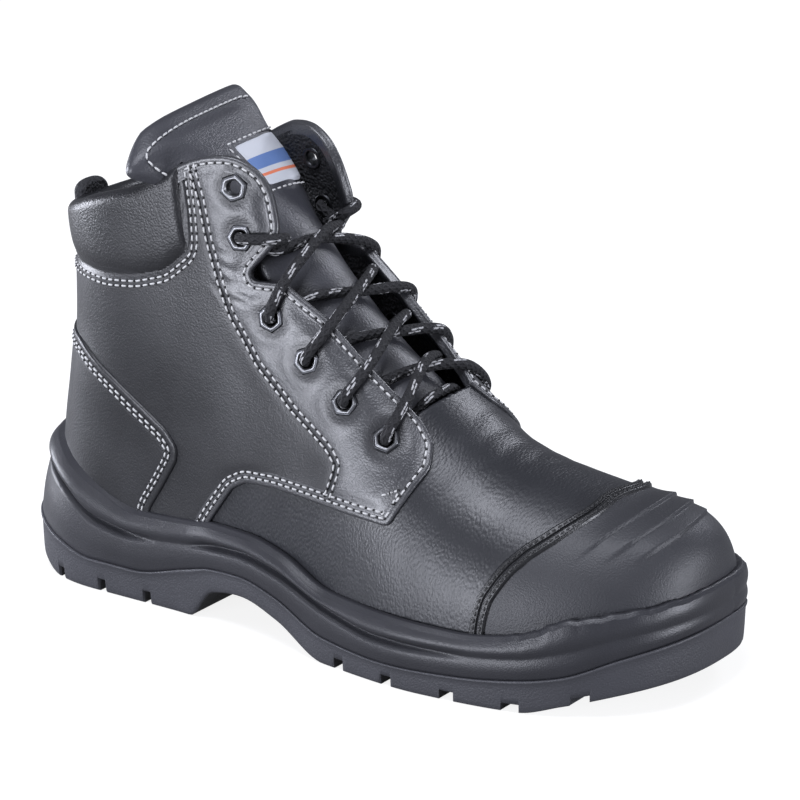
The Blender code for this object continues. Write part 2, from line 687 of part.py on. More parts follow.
def strand(name, start, end, lift, look=None):
    """Cord laid clear of the tongue between two (station, side) places."""
    t = np.linspace(0, 1, 6)
    s = start[0] + (end[0] - start[0]) * t
    y = start[1] + (end[1] - start[1]) * t
    points = tongue_points(s, y / tongue("half", s), np.full_like(s, -LACE_RADIUS - lift))
    points = (points - (CENTRE_X, CENTRE_Y, 0.0)) * MM
    curve = bpy.data.curves.new(name, "CURVE")
    curve.dimensions = "3D"
    curve.bevel_depth = LACE_RADIUS * MM
    curve.bevel_resolution = 1
    curve.use_fill_caps = True
    line = curve.splines.new("POLY")
    line.points.add(len(points) - 1)
    for knot, point in zip(line.points, points):
        knot.co = (*point, 1.0)
    return place(name, curve_mesh(name, curve), look)


bar_s = station(LACE_BAR_X)
strand("lace_bar", (bar_s, -LACE_BAR_HALF), (bar_s, LACE_BAR_HALF), LACE_LIFT, CORD)
for number, (low_x, high_x) in enumerate(LACE_CROSSINGS, 1):
    low_s = station(low_x)
    high_s = station(high_x)
    under = strand(f"lace_crossing_{number}", (low_s, -LACE_HALF), (high_s, LACE_HALF), LACE_LIFT, CORD)
    over = strand(f"lace_over_{number}", (low_s, LACE_HALF), (high_s, -LACE_HALF), LACE_OVER)
    combine(under, over, "UNION")

# Curved faces shade smooth, crisp along their edges
for made in PARTS.objects:
    made.data.shade_smooth()
    made.data.set_sharp_from_angle(angle=math.radians(CRISP_DEGREES))
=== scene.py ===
import math

import bpy
import numpy as np
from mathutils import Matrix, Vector


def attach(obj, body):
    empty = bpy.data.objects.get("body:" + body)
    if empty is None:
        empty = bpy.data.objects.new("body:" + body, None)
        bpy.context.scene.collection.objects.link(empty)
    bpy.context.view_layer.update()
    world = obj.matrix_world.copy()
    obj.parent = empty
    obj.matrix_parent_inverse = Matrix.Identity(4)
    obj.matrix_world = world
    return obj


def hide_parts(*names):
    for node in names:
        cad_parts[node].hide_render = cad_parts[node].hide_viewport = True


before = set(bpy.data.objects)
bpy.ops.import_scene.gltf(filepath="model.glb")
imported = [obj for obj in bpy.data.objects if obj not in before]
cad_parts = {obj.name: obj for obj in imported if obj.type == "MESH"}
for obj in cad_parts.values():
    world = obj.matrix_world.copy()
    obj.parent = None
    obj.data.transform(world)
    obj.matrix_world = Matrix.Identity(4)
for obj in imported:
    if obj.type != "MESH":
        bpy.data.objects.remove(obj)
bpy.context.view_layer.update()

# Frame: tables are millimetres, x from the back of the sole to the toe, y positive on the inner side, z up
MM = 0.001
SOLE_LENGTH = 308.0
CENTRE_X = SOLE_LENGTH / 2
CENTRE_Y = 2.15
LATERAL = -1
MEDIAL = 1

# Last: half widths either side of a bent axis, the ridge over the instep and how boxy a section is
LAST_COLUMNS = ("x", "lateral", "medial", "axis", "crest", "power")
LAST = np.array((
    (8, 32.0, 33.0, 0.0, 440, 2.0), (40, 32.8, 33.6, 0.0, 388, 2.0), (70, 33.8, 33.5, 0.0, 335, 2.0),
    (90, 34.8, 33.6, 0.0, 296, 1.9), (105, 36.0, 35.4, 0.0, 262, 1.9), (123, 38.0, 38.2, 0.0, 213, 1.8),
    (150, 42.5, 43.2, 0.0, 153, 1.8), (175, 48.0, 46.6, 0.5, 119, 1.9), (200, 51.5, 47.6, 2.0, 95, 2.1),
    (225, 52.5, 47.5, 4.0, 81.5, 2.3), (250, 52.0, 48.0, 7.0, 75, 2.5), (275, 51.0, 48.0, 10.0, 71.0, 2.8),
    (304, 50.0, 48.5, 13.0, 69.6, 2.9),
), float)
TOE_X = 304.0
TOE_START = 228.0
TOE_POWER = 2.8
DOME_START = 258.0
DOME_POWER = 3.4
TIP_Z = 40.0
ARCH_BASE = 12.0
ARCH_ROUND = 2.1
HEEL_LENGTH = 46.0
HEEL_POWER = 2.2
SHAFT_HALF = 36.3
SHAFT_FADE = (100.0, 170.0)
# Inner flap: how far it stands open, between eased steps (start, length) along the foot and up the section
FLAP_OPEN = 2.8
FLAP_FROM = (98.0, 24.0)
FLAP_TO = (200.0, 14.0)
FLAP_CLIMB = (0.35, 0.4)
# How much higher its edge runs: in the throat, at the collar corner and at the low end
THROAT_RAISE = 2.6
THROAT_FROM = (114.0, 10.0)
THROAT_TO = (198.0, 6.0)
THROAT_TOP = (141.0, 8.0)
THROAT_LOW_Z = 82.0
CORNER_RAISE = 2.0
CORNER_UP = (150.0, 14.0)
CORNER_ALONG = (88.0, 12.0)
END_RAISE = 3.0
END_X = 193.0
END_REACH = 12.0
END_LOW_Z = 80.0

# Back seam: how far forward it lies and how much of the section is shaft
BACK_COLUMNS = ("z", "x", "shaft")
BACK = np.array((
    (15, 12.0, 0.0), (40, 12.5, 0.0), (60, 14.0, 0.0), (85, 18.0, 0.35), (110, 21.3, 0.8),
    (130, 21.8, 1.0), (150, 20.5, 1.0), (175, 19.0, 1.0), (215, 19.0, 1.0),
), float)

# Sole in plan, with the inward lean of the heel's sides, and its heights along the foot
SOLE_COLUMNS = ("x", "lateral", "medial", "axis", "rim_inset", "lean")
SOLE = np.array((
    (0, 39.0, 39.0, 0.0, 4.0, 0.15), (42, 39.5, 39.5, 0.0, 3.4, 0.07), (85, 40.0, 38.0, 0.0, 3.0, 0.0),
    (125, 44.0, 38.0, 0.0, 3.5, 0.0), (170, 53.0, 46.5, 1.0, 4.0, 0.0), (215, 59.0, 53.5, 3.5, 3.5, 0.0),
    (255, 59.0, 54.0, 7.5, 2.5, 0.0), (308, 58.0, 53.0, 14.0, 0.8, 0.0),
), float)
SOLE_TOE_START = 225.0
SOLE_TOE_POWER = 2.6
HEIGHT_COLUMNS = ("x", "tread", "parting", "groove", "rim", "floor")
HEIGHTS = np.array((
    (0, 6.0, 24.0, 48.0, 57.5, 32.0), (12, 3.0, 21.0, 45.0, 55.5, 31.5), (26, 0.0, 17.0, 39.5, 50.0, 31.0),
    (45, 0.0, 13.0, 30.0, 43.5, 30.0), (66, 0.0, 13.0, 27.5, 38.0, 30.0), (94, 0.0, 19.5, 30.0, 39.5, 30.5),
    (106, 12.5, 22.5, 32.0, 41.0, 31.0), (122, 15.0, 23.5, 33.0, 41.0, 31.0),
    (142, 10.5, 20.0, 30.5, 38.0, 28.0), (168, 0.0, 11.0, 23.0, 29.5, 20.0),
    (195, 0.0, 9.0, 18.5, 27.8, 17.0), (230, 0.0, 10.5, 19.5, 27.2, 17.5),
    (256, 0.0, 13.2, 22.0, 30.5, 20.0), (272, 4.0, 16.2, 26.0, 37.5, 24.0),
    (290, 8.6, 23.5, 32.0, 41.2, 29.5), (308, 12.5, 29.3, 36.0, 44.5, 33.0),
), float)
# How strongly the groove under the rim bead shows along the foot
GROOVE_SHOWS = np.array((
    (0, 1), (58, 1), (80, 0.12), (95, 0.2), (108, 1), (200, 1), (236, 0.1), (308, 0),
), float)
# Cross grooves between the lugs: place along the foot, width and depth
LUG_GAPS = (
    (27, 4.2, 5.0), (50, 4.2, 5.4), (73, 4.2, 5.4), (176, 4.6, 4.6), (200, 4.6, 4.4), (227, 6.0, 4.0),
    (253, 7.0, 3.6), (278, 6.5, 3.2),
)

# Side-view outlines (x, z)
QUARTER_EDGE = (
    (83.6, 179.6), (88.5, 182.6), (93.3, 184.7), (99, 186.4), (105, 187.2), (110, 186.7), (114.4, 184.8),
    (118.1, 182.4), (121, 179.4), (124, 174.8), (126, 169.5), (128.2, 162), (128.2, 156), (118.7, 143.4),
    (120, 140.3), (133, 140.5), (151, 128.9), (171, 111.5), (191.8, 94.6), (199.6, 87), (202.2, 79.9),
    (192.7, 59.1), (164.3, 60.9), (136.4, 61.9), (122.3, 60.9), (115.2, 56.9), (104.4, 41.6), (99, 32),
)
QUARTER_UNDER = ((94, 32), (66, 31), (45, 36), (26, 43), (12, 50))
QUARTER_TOP = ((16, 148.5), (30, 151.5), (44, 158.2), (55, 162.5), (70, 167))
QUARTER_BACK_Z = (53.0, 147.0)
EYESTAY_SEAM = (
    (90.5, 187), (92.6, 181.1), (97.1, 170), (101.4, 154.5), (108, 136.6), (112.7, 126.2), (125.8, 108.8),
    (144.2, 93.8), (161.7, 83), (167.2, 77.4), (166, 71.2), (164.1, 64.3),
)
COUNTER_EDGE = (
    (72, 33), (73.5, 39.3), (79.6, 49), (87.3, 62.3), (87.4, 68.1), (82.1, 74.2), (57, 90.2), (36.7, 100.9),
    (24, 103.2),
)
COUNTER_BACK_Z = 104.0
COUNTER_LOW = ((66, 31), (45, 36), (26, 43), (20, 46))
COUNTER_LOW_BACK_Z = 49.0
PAD_LOW = ((91.4, 148.2), (81, 139.1), (68, 135), (53, 133), (40, 133.1), (24, 133.1))
PAD_FRONT = ((91.4, 148.2), (91.9, 152.1), (90.6, 162.5), (87.2, 179.4))
PAD_TOP = ((86.6, 182.2), (79, 176.4), (70, 171.2), (55, 166.6), (44, 162.8), (30, 156.4), (20, 152.8))
PAD_LOW_BACK_Z = 133.1
PAD_TOP_BACK_Z = 152.0
CAP_MARKS = (
    (233.0, 22.0), (233.0, 28.3), (235.0, 41.3), (239.2, 50.4), (245.6, 58.2), (254.6, 66.0), (259.4, 69.8),
)
CAP_CREST_X = 260.8
VAMP_REGION = (
    (88, -50), (88, 40), (99, 46), (111, 64), (128, 70), (165, 70), (186, 68), (193, 80), (191, 90),
    (190.5, 97), (194, 101), (194, 160), (345, 160), (345, -50),
)
EYELETS = ((183.6, 88.7), (164.8, 100.0), (146.3, 113.1), (129.3, 127.1), (114.2, 156.4), (110.1, 175.3))

# Tongue sections from the top edge down: centre line, half width, fall of its edges and thickness
TONGUE_COLUMNS = ("x", "z", "half", "sag", "thick")
TONGUE = np.array((
    (69.0, 196.0, 37.5, 1.0, 6.0), (76.0, 191.3, 37.5, 1.2, 6.5), (88.0, 183.0, 32.0, 1.6, 7.0),
    (106.0, 170.0, 26.0, 3.8, 7.0), (121.0, 157.5, 21.8, 7.5, 6.5), (138.0, 139.5, 22.5, 11.0, 6.5),
    (156.0, 122.5, 22.0, 12.5, 6.0), (168.5, 112.0, 21.5, 12.0, 6.0), (180.0, 102.6, 21.5, 9.5, 5.5),
    (191.0, 94.0, 21.5, 7.5, 5.0), (202.0, 87.5, 21.0, 6.0, 4.0),
), float)
TONGUE_FALL = 2.2
# Radii of the two top corners, lean of the top (whole, sideways), drop and spread of the outer wing
TONGUE_CORNERS = (13.0, 4.0)
TONGUE_LEAN = (1.7, 2.9)
TONGUE_WING = (9.0, 0.14)
# Stitched border and label by place down the tongue and share across it
TONGUE_STITCH = np.array((
    (0.13, -0.99), (0.106, -0.965), (0.085, -0.92), (0.068, -0.88), (0.056, -0.82), (0.051, -0.7),
    (0.048, -0.5), (0.045, -0.195), (0.045, 0.2), (0.046, 0.6), (0.047, 0.78), (0.054, 0.9),
))
LABEL_SPAN = (0.149, 0.276)
LABEL_SIDE = (-0.03, 0.95)

# Lace
LACE_RADIUS = 2.15
LACE_BAR_X = 186.0
LACE_CROSSINGS = ((180.0, 172.0), (166.0, 157.5), (151.5, 141.0), (135.0, 121.0))

# Thicknesses, stitch sizes and the step for differences on the outer face
WALL = 2.4
PANEL = 1.7
STITCH_PITCH = 3.5
STITCH_LENGTH = 2.8
STITCH_RADIUS = 0.42
# Dark beads between the stitches, painted shade of the needle holes: their length and radius
NEEDLE_SHADE_LENGTH = 1.1
NEEDLE_SHADE_RADIUS = 0.5
SIDE_STEP = 0.8


def smooth(stations, values, at):
    """Monotone cubic through a table, level beyond its ends."""
    at = np.clip(at, stations[0], stations[-1])
    step = np.diff(stations)
    slope = np.diff(values) / step
    tangent = np.zeros_like(values)
    tangent[0] = slope[0]
    tangent[-1] = slope[-1]
    ahead = 2 * step[1:] + step[:-1]
    behind = step[1:] + 2 * step[:-1]
    turning = slope[:-1] * slope[1:] <= 0
    safe_low = np.where(turning, 1.0, slope[:-1])
    safe_high = np.where(turning, 1.0, slope[1:])
    mean = (ahead + behind) / (ahead / safe_low + behind / safe_high)
    tangent[1:-1] = np.where(turning, 0.0, mean)
    i = np.clip(np.searchsorted(stations, at, side="right") - 1, 0, len(stations) - 2)
    t = (at - stations[i]) / step[i]
    rise = t * t * (3 - 2 * t)
    bend = t * (1 - t) * step[i] * ((1 - t) * tangent[i] - t * tangent[i + 1])
    return values[i] + rise * (values[i + 1] - values[i]) + bend


def reader(table, columns):
    """A reader of one table: a named column as a smooth curve over the table's first column."""
    def read(name, at):
        """A named column at places along the table."""
        return smooth(table[:, 0], table[:, columns.index(name)], at)
    return read


last = reader(LAST, LAST_COLUMNS)
back = reader(BACK, BACK_COLUMNS)
sole = reader(SOLE, SOLE_COLUMNS)
height = reader(HEIGHTS, HEIGHT_COLUMNS)


def ease(t):
    """Smooth step: 0 up to t = 0, 1 from t = 1, level at both ends."""
    t = np.clip(t, 0.0, 1.0)
    return t * t * (3 - 2 * t)


def ramp(value, start, length):
    """Smooth step from 0 at a start to 1 a length further on."""
    return ease((value - start) / length)


def bell(far, wide, power=2):
    """Bell curve of a distance: 1 at zero, fading over a width, flatter on top for a higher power."""
    return np.exp(-(far / wide) ** power)


def rounded(t, power):
    """Quarter of a superellipse: 1 at t = 0, falling to 0 at t = 1."""
    return np.maximum(1 - np.clip(t, 0.0, 1.0) ** power, 0.0) ** (1 / power)


def unit(v):
    """Vectors brought to length one."""
    return v / np.maximum(np.linalg.norm(v, axis=-1, keepdims=True), 1e-9)


def length_along(points):
    """Distance of each point of a line from its first, measured along the line."""
    return np.concatenate([[0.0], np.cumsum(np.linalg.norm(np.diff(points, axis=0), axis=1))])


def read_line(at, run, points):
    """Points of a line at given lengths along it, by straight steps."""
    return np.stack([np.interp(at, run, column) for column in points.T], -1)


def halved(low, high, passes, rounds):
    """Spans narrowed by halving to where a test stops passing, many at once."""
    for _ in range(rounds):
        mid = (low + high) / 2
        passed = passes(mid)
        low = np.where(passed, mid, low)
        high = np.where(passed, high, mid)
    return low, high


def crest(x):
    """Height of the ridge over the foot, rounded down over the toe."""
    fall = rounded((x - DOME_START) / (TOE_X - DOME_START), DOME_POWER)
    return TIP_Z + (last("crest", x) - TIP_Z) * fall


def half_width(x, z, side):
    """Distance of the upper's outer face from the bent axis, seen as a function of the side view."""
    wide = np.where(side < 0, last("lateral", x), last("medial", x))
    wide = wide * rounded((x - TOE_START) / (TOE_X - TOE_START), TOE_POWER)
    shaft = back("shaft", z) * (1 - ease((x - SHAFT_FADE[0]) / (SHAFT_FADE[1] - SHAFT_FADE[0])))
    wide = wide + (SHAFT_HALF - wide) * shaft
    heel = rounded((back("x", z) + HEEL_LENGTH - x) / HEEL_LENGTH, HEEL_POWER)
    climb = np.clip((z - ARCH_BASE) / (crest(x) - ARCH_BASE), 0.0, 1.0)
    arch = np.maximum(1 - climb ** last("power", x), 0.0) ** (1 / ARCH_ROUND)
    spread = ramp(x, *FLAP_FROM) * (1 - ramp(x, *FLAP_TO)) * ramp(climb, *FLAP_CLIMB)
    return wide * heel * arch + np.where(side > 0, FLAP_OPEN * spread, 0.0)


def inside_upper(x, y, z):
    """Whether points lie under the outer face: nearer the axis than the half width, behind toe and ridge."""
    axis = last("axis", x)
    within = np.abs(y - axis) < half_width(x, z, np.where(y < axis, LATERAL, MEDIAL))
    return within & (x < TOE_X) & (x > back("x", z)) & (z < crest(x))


# Ring grid of the upper: its ends at back and front, its gap over the floor and how its rings climb
LOW_BACK_Z = 37.0
TOP_BACK_Z = 192.0
TOP_FRONT_X = 122.0
FLOOR_GAP = 0.3
RIDGE_COUNT = 300
TOE_WALL_COUNT = 12
RING_HALF = 40.0
RING_CLIMB = 1.3
RING_SAG = 2.0
RING_FOOT = 0.12
# Where its rays start: ahead of the heel, behind a line by level, and sunk toward the ball of the foot
RAY_BACK_X = 55.0
RAY_FRONT = ((0, 60, 100, 215), (258, 240, 150, 60))
RAY_LOW_Z = 45.0
RAY_SINK = (110.0, 90.0)
RAY_LENGTH = 220.0
RAY_ROUNDS = 30
SEAT_SPAN = (-8.0, 5.0)
SEAT_ROUNDS = 24


def front_line(v):
    """Toe wall, then the ridge from the toe to the top of the throat, by share of its length."""
    turn = np.linspace(0.0, math.pi / 2, RIDGE_COUNT)
    x = TOE_X - (TOE_X - TOP_FRONT_X) * (1 - np.cos(turn))
    foot = float(height("floor", TOE_X)) + FLOOR_GAP
    z = np.concatenate([np.linspace(foot, TIP_Z, TOE_WALL_COUNT, endpoint=False), crest(x)])
    x = np.concatenate([np.full(TOE_WALL_COUNT, TOE_X), x])
    run = np.concatenate([[0.0], np.cumsum(np.hypot(np.diff(x), np.diff(z)))])
    return np.interp(v, run / run[-1], x), np.interp(v, run / run[-1], z)


def upper_point(u, v):
    """Outer face of the upper: u once round from the back seam, v from the sole to the top.

    A rough ring is drawn from the back line to the front line, and each of its points is moved along
    the ray from the middle of the boot until it lies on the outer face.
    """
    front_x, front_z = front_line(v)
    back_z = LOW_BACK_Z + (TOP_BACK_Z - LOW_BACK_Z) * v ** RING_CLIMB
    back_x = back("x", back_z)
    along = (1 - np.cos(2 * math.pi * u)) / 2
    x = back_x + (front_x - back_x) * along
    y = -RING_HALF * np.sin(2 * math.pi * u)
    z = back_z + (front_z - back_z) * along ** (1 + RING_SAG * (1 - v))
    base = height("floor", x) + FLOOR_GAP
    z = z + (base - z) * (1 - np.clip(v / RING_FOOT, 0, 1))
    from_x = np.clip(x, RAY_BACK_X, np.interp(z, *RAY_FRONT))
    from_z = z - np.maximum(z - RAY_LOW_Z, 0) * ramp(x, *RAY_SINK)
    start = np.stack([from_x, last("axis", from_x), from_z])
    ray = np.stack([x - from_x, y, z - from_z])
    ray = ray / np.linalg.norm(ray, axis=0)
    near, _ = halved(np.zeros_like(x), np.full_like(x, RAY_LENGTH),
                     lambda mid: inside_upper(*(start + ray * mid)), RAY_ROUNDS)
    return np.stack(list(start + ray * near), -1)


def seated(points, out):
    """Points moved along the given outward directions onto the outer face, by halving."""
    def inside(mid):
        """Whether the points moved out this far are still inside."""
        at = points + out * mid[..., None]
        return inside_upper(at[..., 0], at[..., 1], at[..., 2])

    low, high = (np.full(points.shape[:-1], end) for end in SEAT_SPAN)
    return points + out * halved(low, high, inside, SEAT_ROUNDS)[0][..., None]


# Level slices of the upper, measured by length round from the back seam
LEVELS = np.arange(24.0, 197.0, 1.0)
SLICE_STEP = 0.5
SLICE_COUNT = 660
SLICE_FINE = 700
SLICE_RIDGE = (60, 232)
SLICE_ROUNDS = 30


def slice_table(side):
    """(x, y) of the outer face at every level and every half millimetre round from the back seam."""
    ridge_x = np.linspace(*SLICE_RIDGE, SLICE_FINE)
    front = np.interp(LEVELS, crest(ridge_x)[::-1], ridge_x[::-1])
    behind = back("x", LEVELS)
    t = (1 - np.cos(np.linspace(0, math.pi, SLICE_FINE))) / 2
    x = behind[:, None] + (front - behind)[:, None] * t
    z = np.repeat(LEVELS[:, None], SLICE_FINE, 1)
    y = last("axis", x) + side * half_width(x, z, np.full_like(x, side))
    run = np.hypot(np.diff(x, axis=1), np.diff(y, axis=1)).cumsum(1)
    run = np.concatenate([np.zeros((len(LEVELS), 1)), run], 1)
    at = np.arange(SLICE_COUNT) * SLICE_STEP
    table = [(np.interp(at, r, a), np.interp(at, r, b)) for r, a, b in zip(run, x, y)]
    return np.array(table)


SLICES = {LATERAL: slice_table(LATERAL), MEDIAL: slice_table(MEDIAL)}


# Cells are looked up just short of the last one
SHORT_OF_END = 1.001


def side_point(s, z):
    """Outer face of the upper: s round from the back seam, lateral positive, at level z."""
    s, z = np.broadcast_arrays(np.asarray(s, float), np.asarray(z, float))
    row = np.clip(z - LEVELS[0], 0, len(LEVELS) - SHORT_OF_END)
    col = np.clip(np.abs(s) / SLICE_STEP, 0, SLICE_COUNT - SHORT_OF_END)
    i, j = row.astype(int), col.astype(int)
    a, b = row - i, col - j

    def read(table, which):
        """One coordinate, weighted from the four table places round each point."""
        low = table[i, which, j] * (1 - b) + table[i, which, j + 1] * b
        high = table[i + 1, which, j] * (1 - b) + table[i + 1, which, j + 1] * b
        return low * (1 - a) + high * a

    lateral = s >= 0
    x = np.where(lateral, read(SLICES[LATERAL], 0), read(SLICES[MEDIAL], 0))
    y = np.where(lateral, read(SLICES[LATERAL], 1), read(SLICES[MEDIAL], 1))
    return np.stack([x, y, z], -1)


def side_s(x, z, side):
    """Length round from the back seam at a side-view place, by halving."""
    x, z = np.asarray(x, float), np.asarray(z, float)
    low, high = halved(np.zeros_like(x), np.full_like(x, SLICE_COUNT * SLICE_STEP - 1),
                       lambda mid: side_point(-side * mid, z)[..., 0] < x, SLICE_ROUNDS)
    return -side * (low + high) / 2


def resample(points, step):
    """A line redrawn with even steps."""
    points = np.asarray(points, float)
    run = length_along(points)
    return read_line(np.linspace(0, run[-1], max(int(round(run[-1] / step)), 2) + 1), run, points)


def eased_line(points, step=0.6, blur=1.6):
    """A side-view outline with its corners rounded by a running weighted mean."""
    line = resample(points, step)
    reach = int(3 * blur / step)
    weight = np.exp(-0.5 * (np.arange(-reach, reach + 1) * step / blur) ** 2)
    weight /= weight.sum()
    first = 2 * line[:1] - line[reach:0:-1]
    after = 2 * line[-1:] - line[-2:-reach - 2:-1]
    wide = np.concatenate([first, line, after])
    return np.stack([np.convolve(wide[:, k], weight, "valid") for k in range(2)], -1)


def on_side(points, side, blur=1.6):
    """A side-view outline as (s, z) on one side of the boot."""
    line = eased_line(points, blur=blur)
    return np.stack([side_s(line[:, 0], line[:, 1], side), line[:, 1]], -1)


def throat_edge(side):
    """The quarter's free edge as (s, z); on the inner side it runs a little higher, by eased amounts."""
    line = np.array(QUARTER_EDGE, float)
    x, z = line.T
    throat = ramp(x, *THROAT_FROM) * (1 - ramp(x, *THROAT_TO)) * (1 - ramp(z, *THROAT_TOP))
    throat *= z > THROAT_LOW_Z
    raised = THROAT_RAISE * throat + CORNER_RAISE * ramp(z, *CORNER_UP) * ramp(x, *CORNER_ALONG)
    raised += END_RAISE * bell(x - END_X, END_REACH) * (z > END_LOW_Z)
    line[:, 1] += np.where(side > 0, raised, 0.0)
    return on_side(line, side, blur=1.4)


def frame_at(s, z, step=SIDE_STEP):
    """Point of the outer face, its outward normal and its two tangents, by differences over a step."""
    here = side_point(s, z)
    along = (side_point(s + step, z) - side_point(s - step, z)) / (2 * step)
    up = (side_point(s, z + step) - side_point(s, z - step)) / (2 * step)
    return here, unit(np.cross(along, up)), along, up


def beside(path, distance, turn):
    """A path moved to its left (turn 1) or right (turn -1) by a true distance over the outer face."""
    here, out, along, up = frame_at(path[:, 0], path[:, 1])
    run = unit(np.gradient(here, axis=0))
    way = np.cross(out, run) * turn
    a, b, c = (along * along).sum(-1), (along * up).sum(-1), (up * up).sum(-1)
    r, t = (along * way).sum(-1), (up * way).sum(-1)
    det = a * c - b * b
    shift = np.stack([(c * r - b * t) / det, (a * t - b * r) / det], -1)
    return path + distance * shift


def lifted(s, z, lift):
    """Points at a height off the outer face, with the normals there."""
    here, out, _, _ = frame_at(s, z)
    return here + out * np.broadcast_to(lift, len(here))[:, None], out


def within(outline, nodes):
    """Even-odd test of many points against one closed outline."""
    count = np.zeros(len(nodes), int)
    for (ax, ay), (bx, by) in zip(outline, np.roll(outline, -1, axis=0)):
        if ay == by:
            continue
        spans = (ay > nodes[:, 1]) != (by > nodes[:, 1])
        count += spans & (nodes[:, 0] < (bx - ax) * (nodes[:, 1] - ay) / (by - ay) + ax)
    return count % 2 == 1


NEAREST_BATCH = 3000


def nearest(points, line):
    """Distance from each point to the nearest of a line's points, and its place in the line."""
    batches = np.array_split(points, len(points) // NEAREST_BATCH + 1)
    found = [((batch[:, None] - line[None]) ** 2).sum(-1) for batch in batches]
    place = np.concatenate([f.argmin(1) for f in found])
    return np.concatenate([np.sqrt(f.min(1)) for f in found]), place


def quads(rows, columns, closed=False, flip=False):
    """Faces of a grid, which may close round its second direction."""
    i, j = np.meshgrid(np.arange(rows - 1), np.arange(columns if closed else columns - 1), indexing="ij")
    k = (j + 1) % columns
    faces = np.stack([i * columns + j, i * columns + k, (i + 1) * columns + k, (i + 1) * columns + j], -1)
    faces = faces.reshape(-1, 4)
    return faces[:, ::-1] if flip else faces


# Border points to a cell, and the share of a cell within which a node is drawn to the border
BORDER_FINE = 6
DRAWN_SHARE = 0.3


def clipped_sheet(outline, spacing):
    """(s, z) nodes and faces of an even grid kept inside an outline, its border drawn to the outline."""
    border = resample(np.concatenate([outline, outline[:1]]), spacing / BORDER_FINE)
    low, high = outline.min(0) - spacing, outline.max(0) + spacing
    s, z = np.meshgrid(*(np.arange(a, b, spacing) for a, b in zip(low, high)), indexing="ij")
    rows, columns = s.shape
    nodes = np.stack([s.ravel(), z.ravel()], -1)
    inside = within(outline, nodes).reshape(rows, columns)
    band = np.zeros_like(inside)
    for di, dj in ((1, 0), (0, 1), (1, 1), (1, -1)):
        other = np.roll(inside, (di, dj), (0, 1)) != inside
        band |= other | np.roll(other, (-di, -dj), (0, 1))
    edge = np.flatnonzero(band.ravel())
    gap, place = nearest(nodes[edge], border)
    firm = inside.ravel().copy()
    firm[edge[gap < DRAWN_SHARE * spacing]] = False
    loose = edge[~firm[edge]]
    nodes[loose] = border[place[~firm[edge]]]
    faces = quads(rows, columns)
    faces = faces[firm[faces].any(1)]
    used, faces = np.unique(faces, return_inverse=True)
    return nodes[used], faces.reshape(-1, 4)[:, ::-1]


def strip(path, profile, turn):
    """Profile of (distance in, height) pairs carried along a path on the outer face."""
    rows = [lifted(*beside(path, distance, turn).T, lift)[0] for distance, lift in profile]
    return np.concatenate(rows), quads(len(profile), len(path), flip=turn < 0)


def piece(name, parts, looks, values=None, uv=None):
    """One joined, smooth-shaded mesh from (points, faces, look number) parts, riding on the boot."""
    base, points, faces, number = 0, [], [], []
    for part in parts:
        points.append(np.asarray(part[0], float).reshape(-1, 3))
        faces.append(np.asarray(part[1]) + base)
        number.append(np.full(len(part[1]), part[2] if len(part) > 2 else 0))
        base += len(points[-1])
    points = (np.concatenate(points) - (CENTRE_X, CENTRE_Y, 0.0)) * MM
    faces = np.concatenate(faces)
    data = bpy.data.meshes.new(name)
    data.vertices.add(len(points))
    data.vertices.foreach_set("co", points.astype(np.float32).ravel())
    data.loops.add(faces.size)
    data.loops.foreach_set("vertex_index", faces.astype(np.int32).ravel())
    data.polygons.add(len(faces))
    data.polygons.foreach_set("loop_start", np.arange(0, faces.size, 4, dtype=np.int32))
    data.polygons.foreach_set("material_index", np.concatenate(number).astype(np.int32))
    data.polygons.foreach_set("use_smooth", np.ones(len(faces), bool))
    for key, value in (values or {}).items():
        data.attributes.new(key, "FLOAT", "POINT").data.foreach_set("value", np.asarray(value, np.float32))
    if uv is not None:
        layer = data.uv_layers.new(name="UVMap")
        layer.data.foreach_set("uv", np.asarray(uv, np.float32)[faces.ravel()].ravel())
    for look in looks:
        data.materials.append(look)
    data.update(calc_edges=True)
    data.validate()
    made = bpy.data.objects.new(name, data)
    bpy.context.scene.collection.objects.link(made)
    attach(made, "root")
    return made


# Shader groups and materials
def link(tree, a, b):
    """A link between two sockets."""
    tree.links.new(a, b)


def feed(tree, value, socket):
    """A socket fed by a link, or set directly where the value is a plain number or colour."""
    if isinstance(value, (int, float)):
        socket.default_value = value
    elif isinstance(value, tuple):
        socket.default_value = (*value, 1.0)
    else:
        link(tree, value, socket)


def node(tree, kind, **settings):
    """A new node with its settings."""
    made = tree.nodes.new(kind)
    for key, value in settings.items():
        setattr(made, key, value)
    return made


def maths(tree, operation, *values):
    """One Math node; plain numbers are set on its sockets."""
    made = node(tree, "ShaderNodeMath", operation=operation)
    for socket, value in zip(made.inputs, values):
        feed(tree, value, socket)
    return made.outputs["Value"]


def group(name, inputs, outputs):
    """An empty node group with named sockets, and its input and output nodes."""
    tree = bpy.data.node_groups.new(name, "ShaderNodeTree")
    for label, kind, value in inputs:
        socket = tree.interface.new_socket(label, in_out="INPUT", socket_type=kind)
        if value is not None:
            socket.default_value = value
    for label, kind in outputs:
        tree.interface.new_socket(label, in_out="OUTPUT", socket_type=kind)
    return tree, node(tree, "NodeGroupInput"), node(tree, "NodeGroupOutput")


def noise(tree, vector, scale, detail=2.0, rough=0.5):
    """Value of a noise texture at a vector."""
    made = node(tree, "ShaderNodeTexNoise")
    link(tree, vector, made.inputs["Vector"])
    feed(tree, scale, made.inputs["Scale"])
    made.inputs["Detail"].default_value = detail
    made.inputs["Roughness"].default_value = rough
    return made.outputs["Fac"]


# Grain: scales of the fine and wide noise as shares of the cells, the mottle's, and the heights' weights
FINE_SHARE = 2.3
WIDE_SHARE = 0.22
MOTTLE_SCALE = 34.0
PEBBLE_WEIGHT = -0.8
FINE_WEIGHT = 0.22
WIDE_WEIGHT = 0.35
PEBBLE_SMOOTH = 0.6


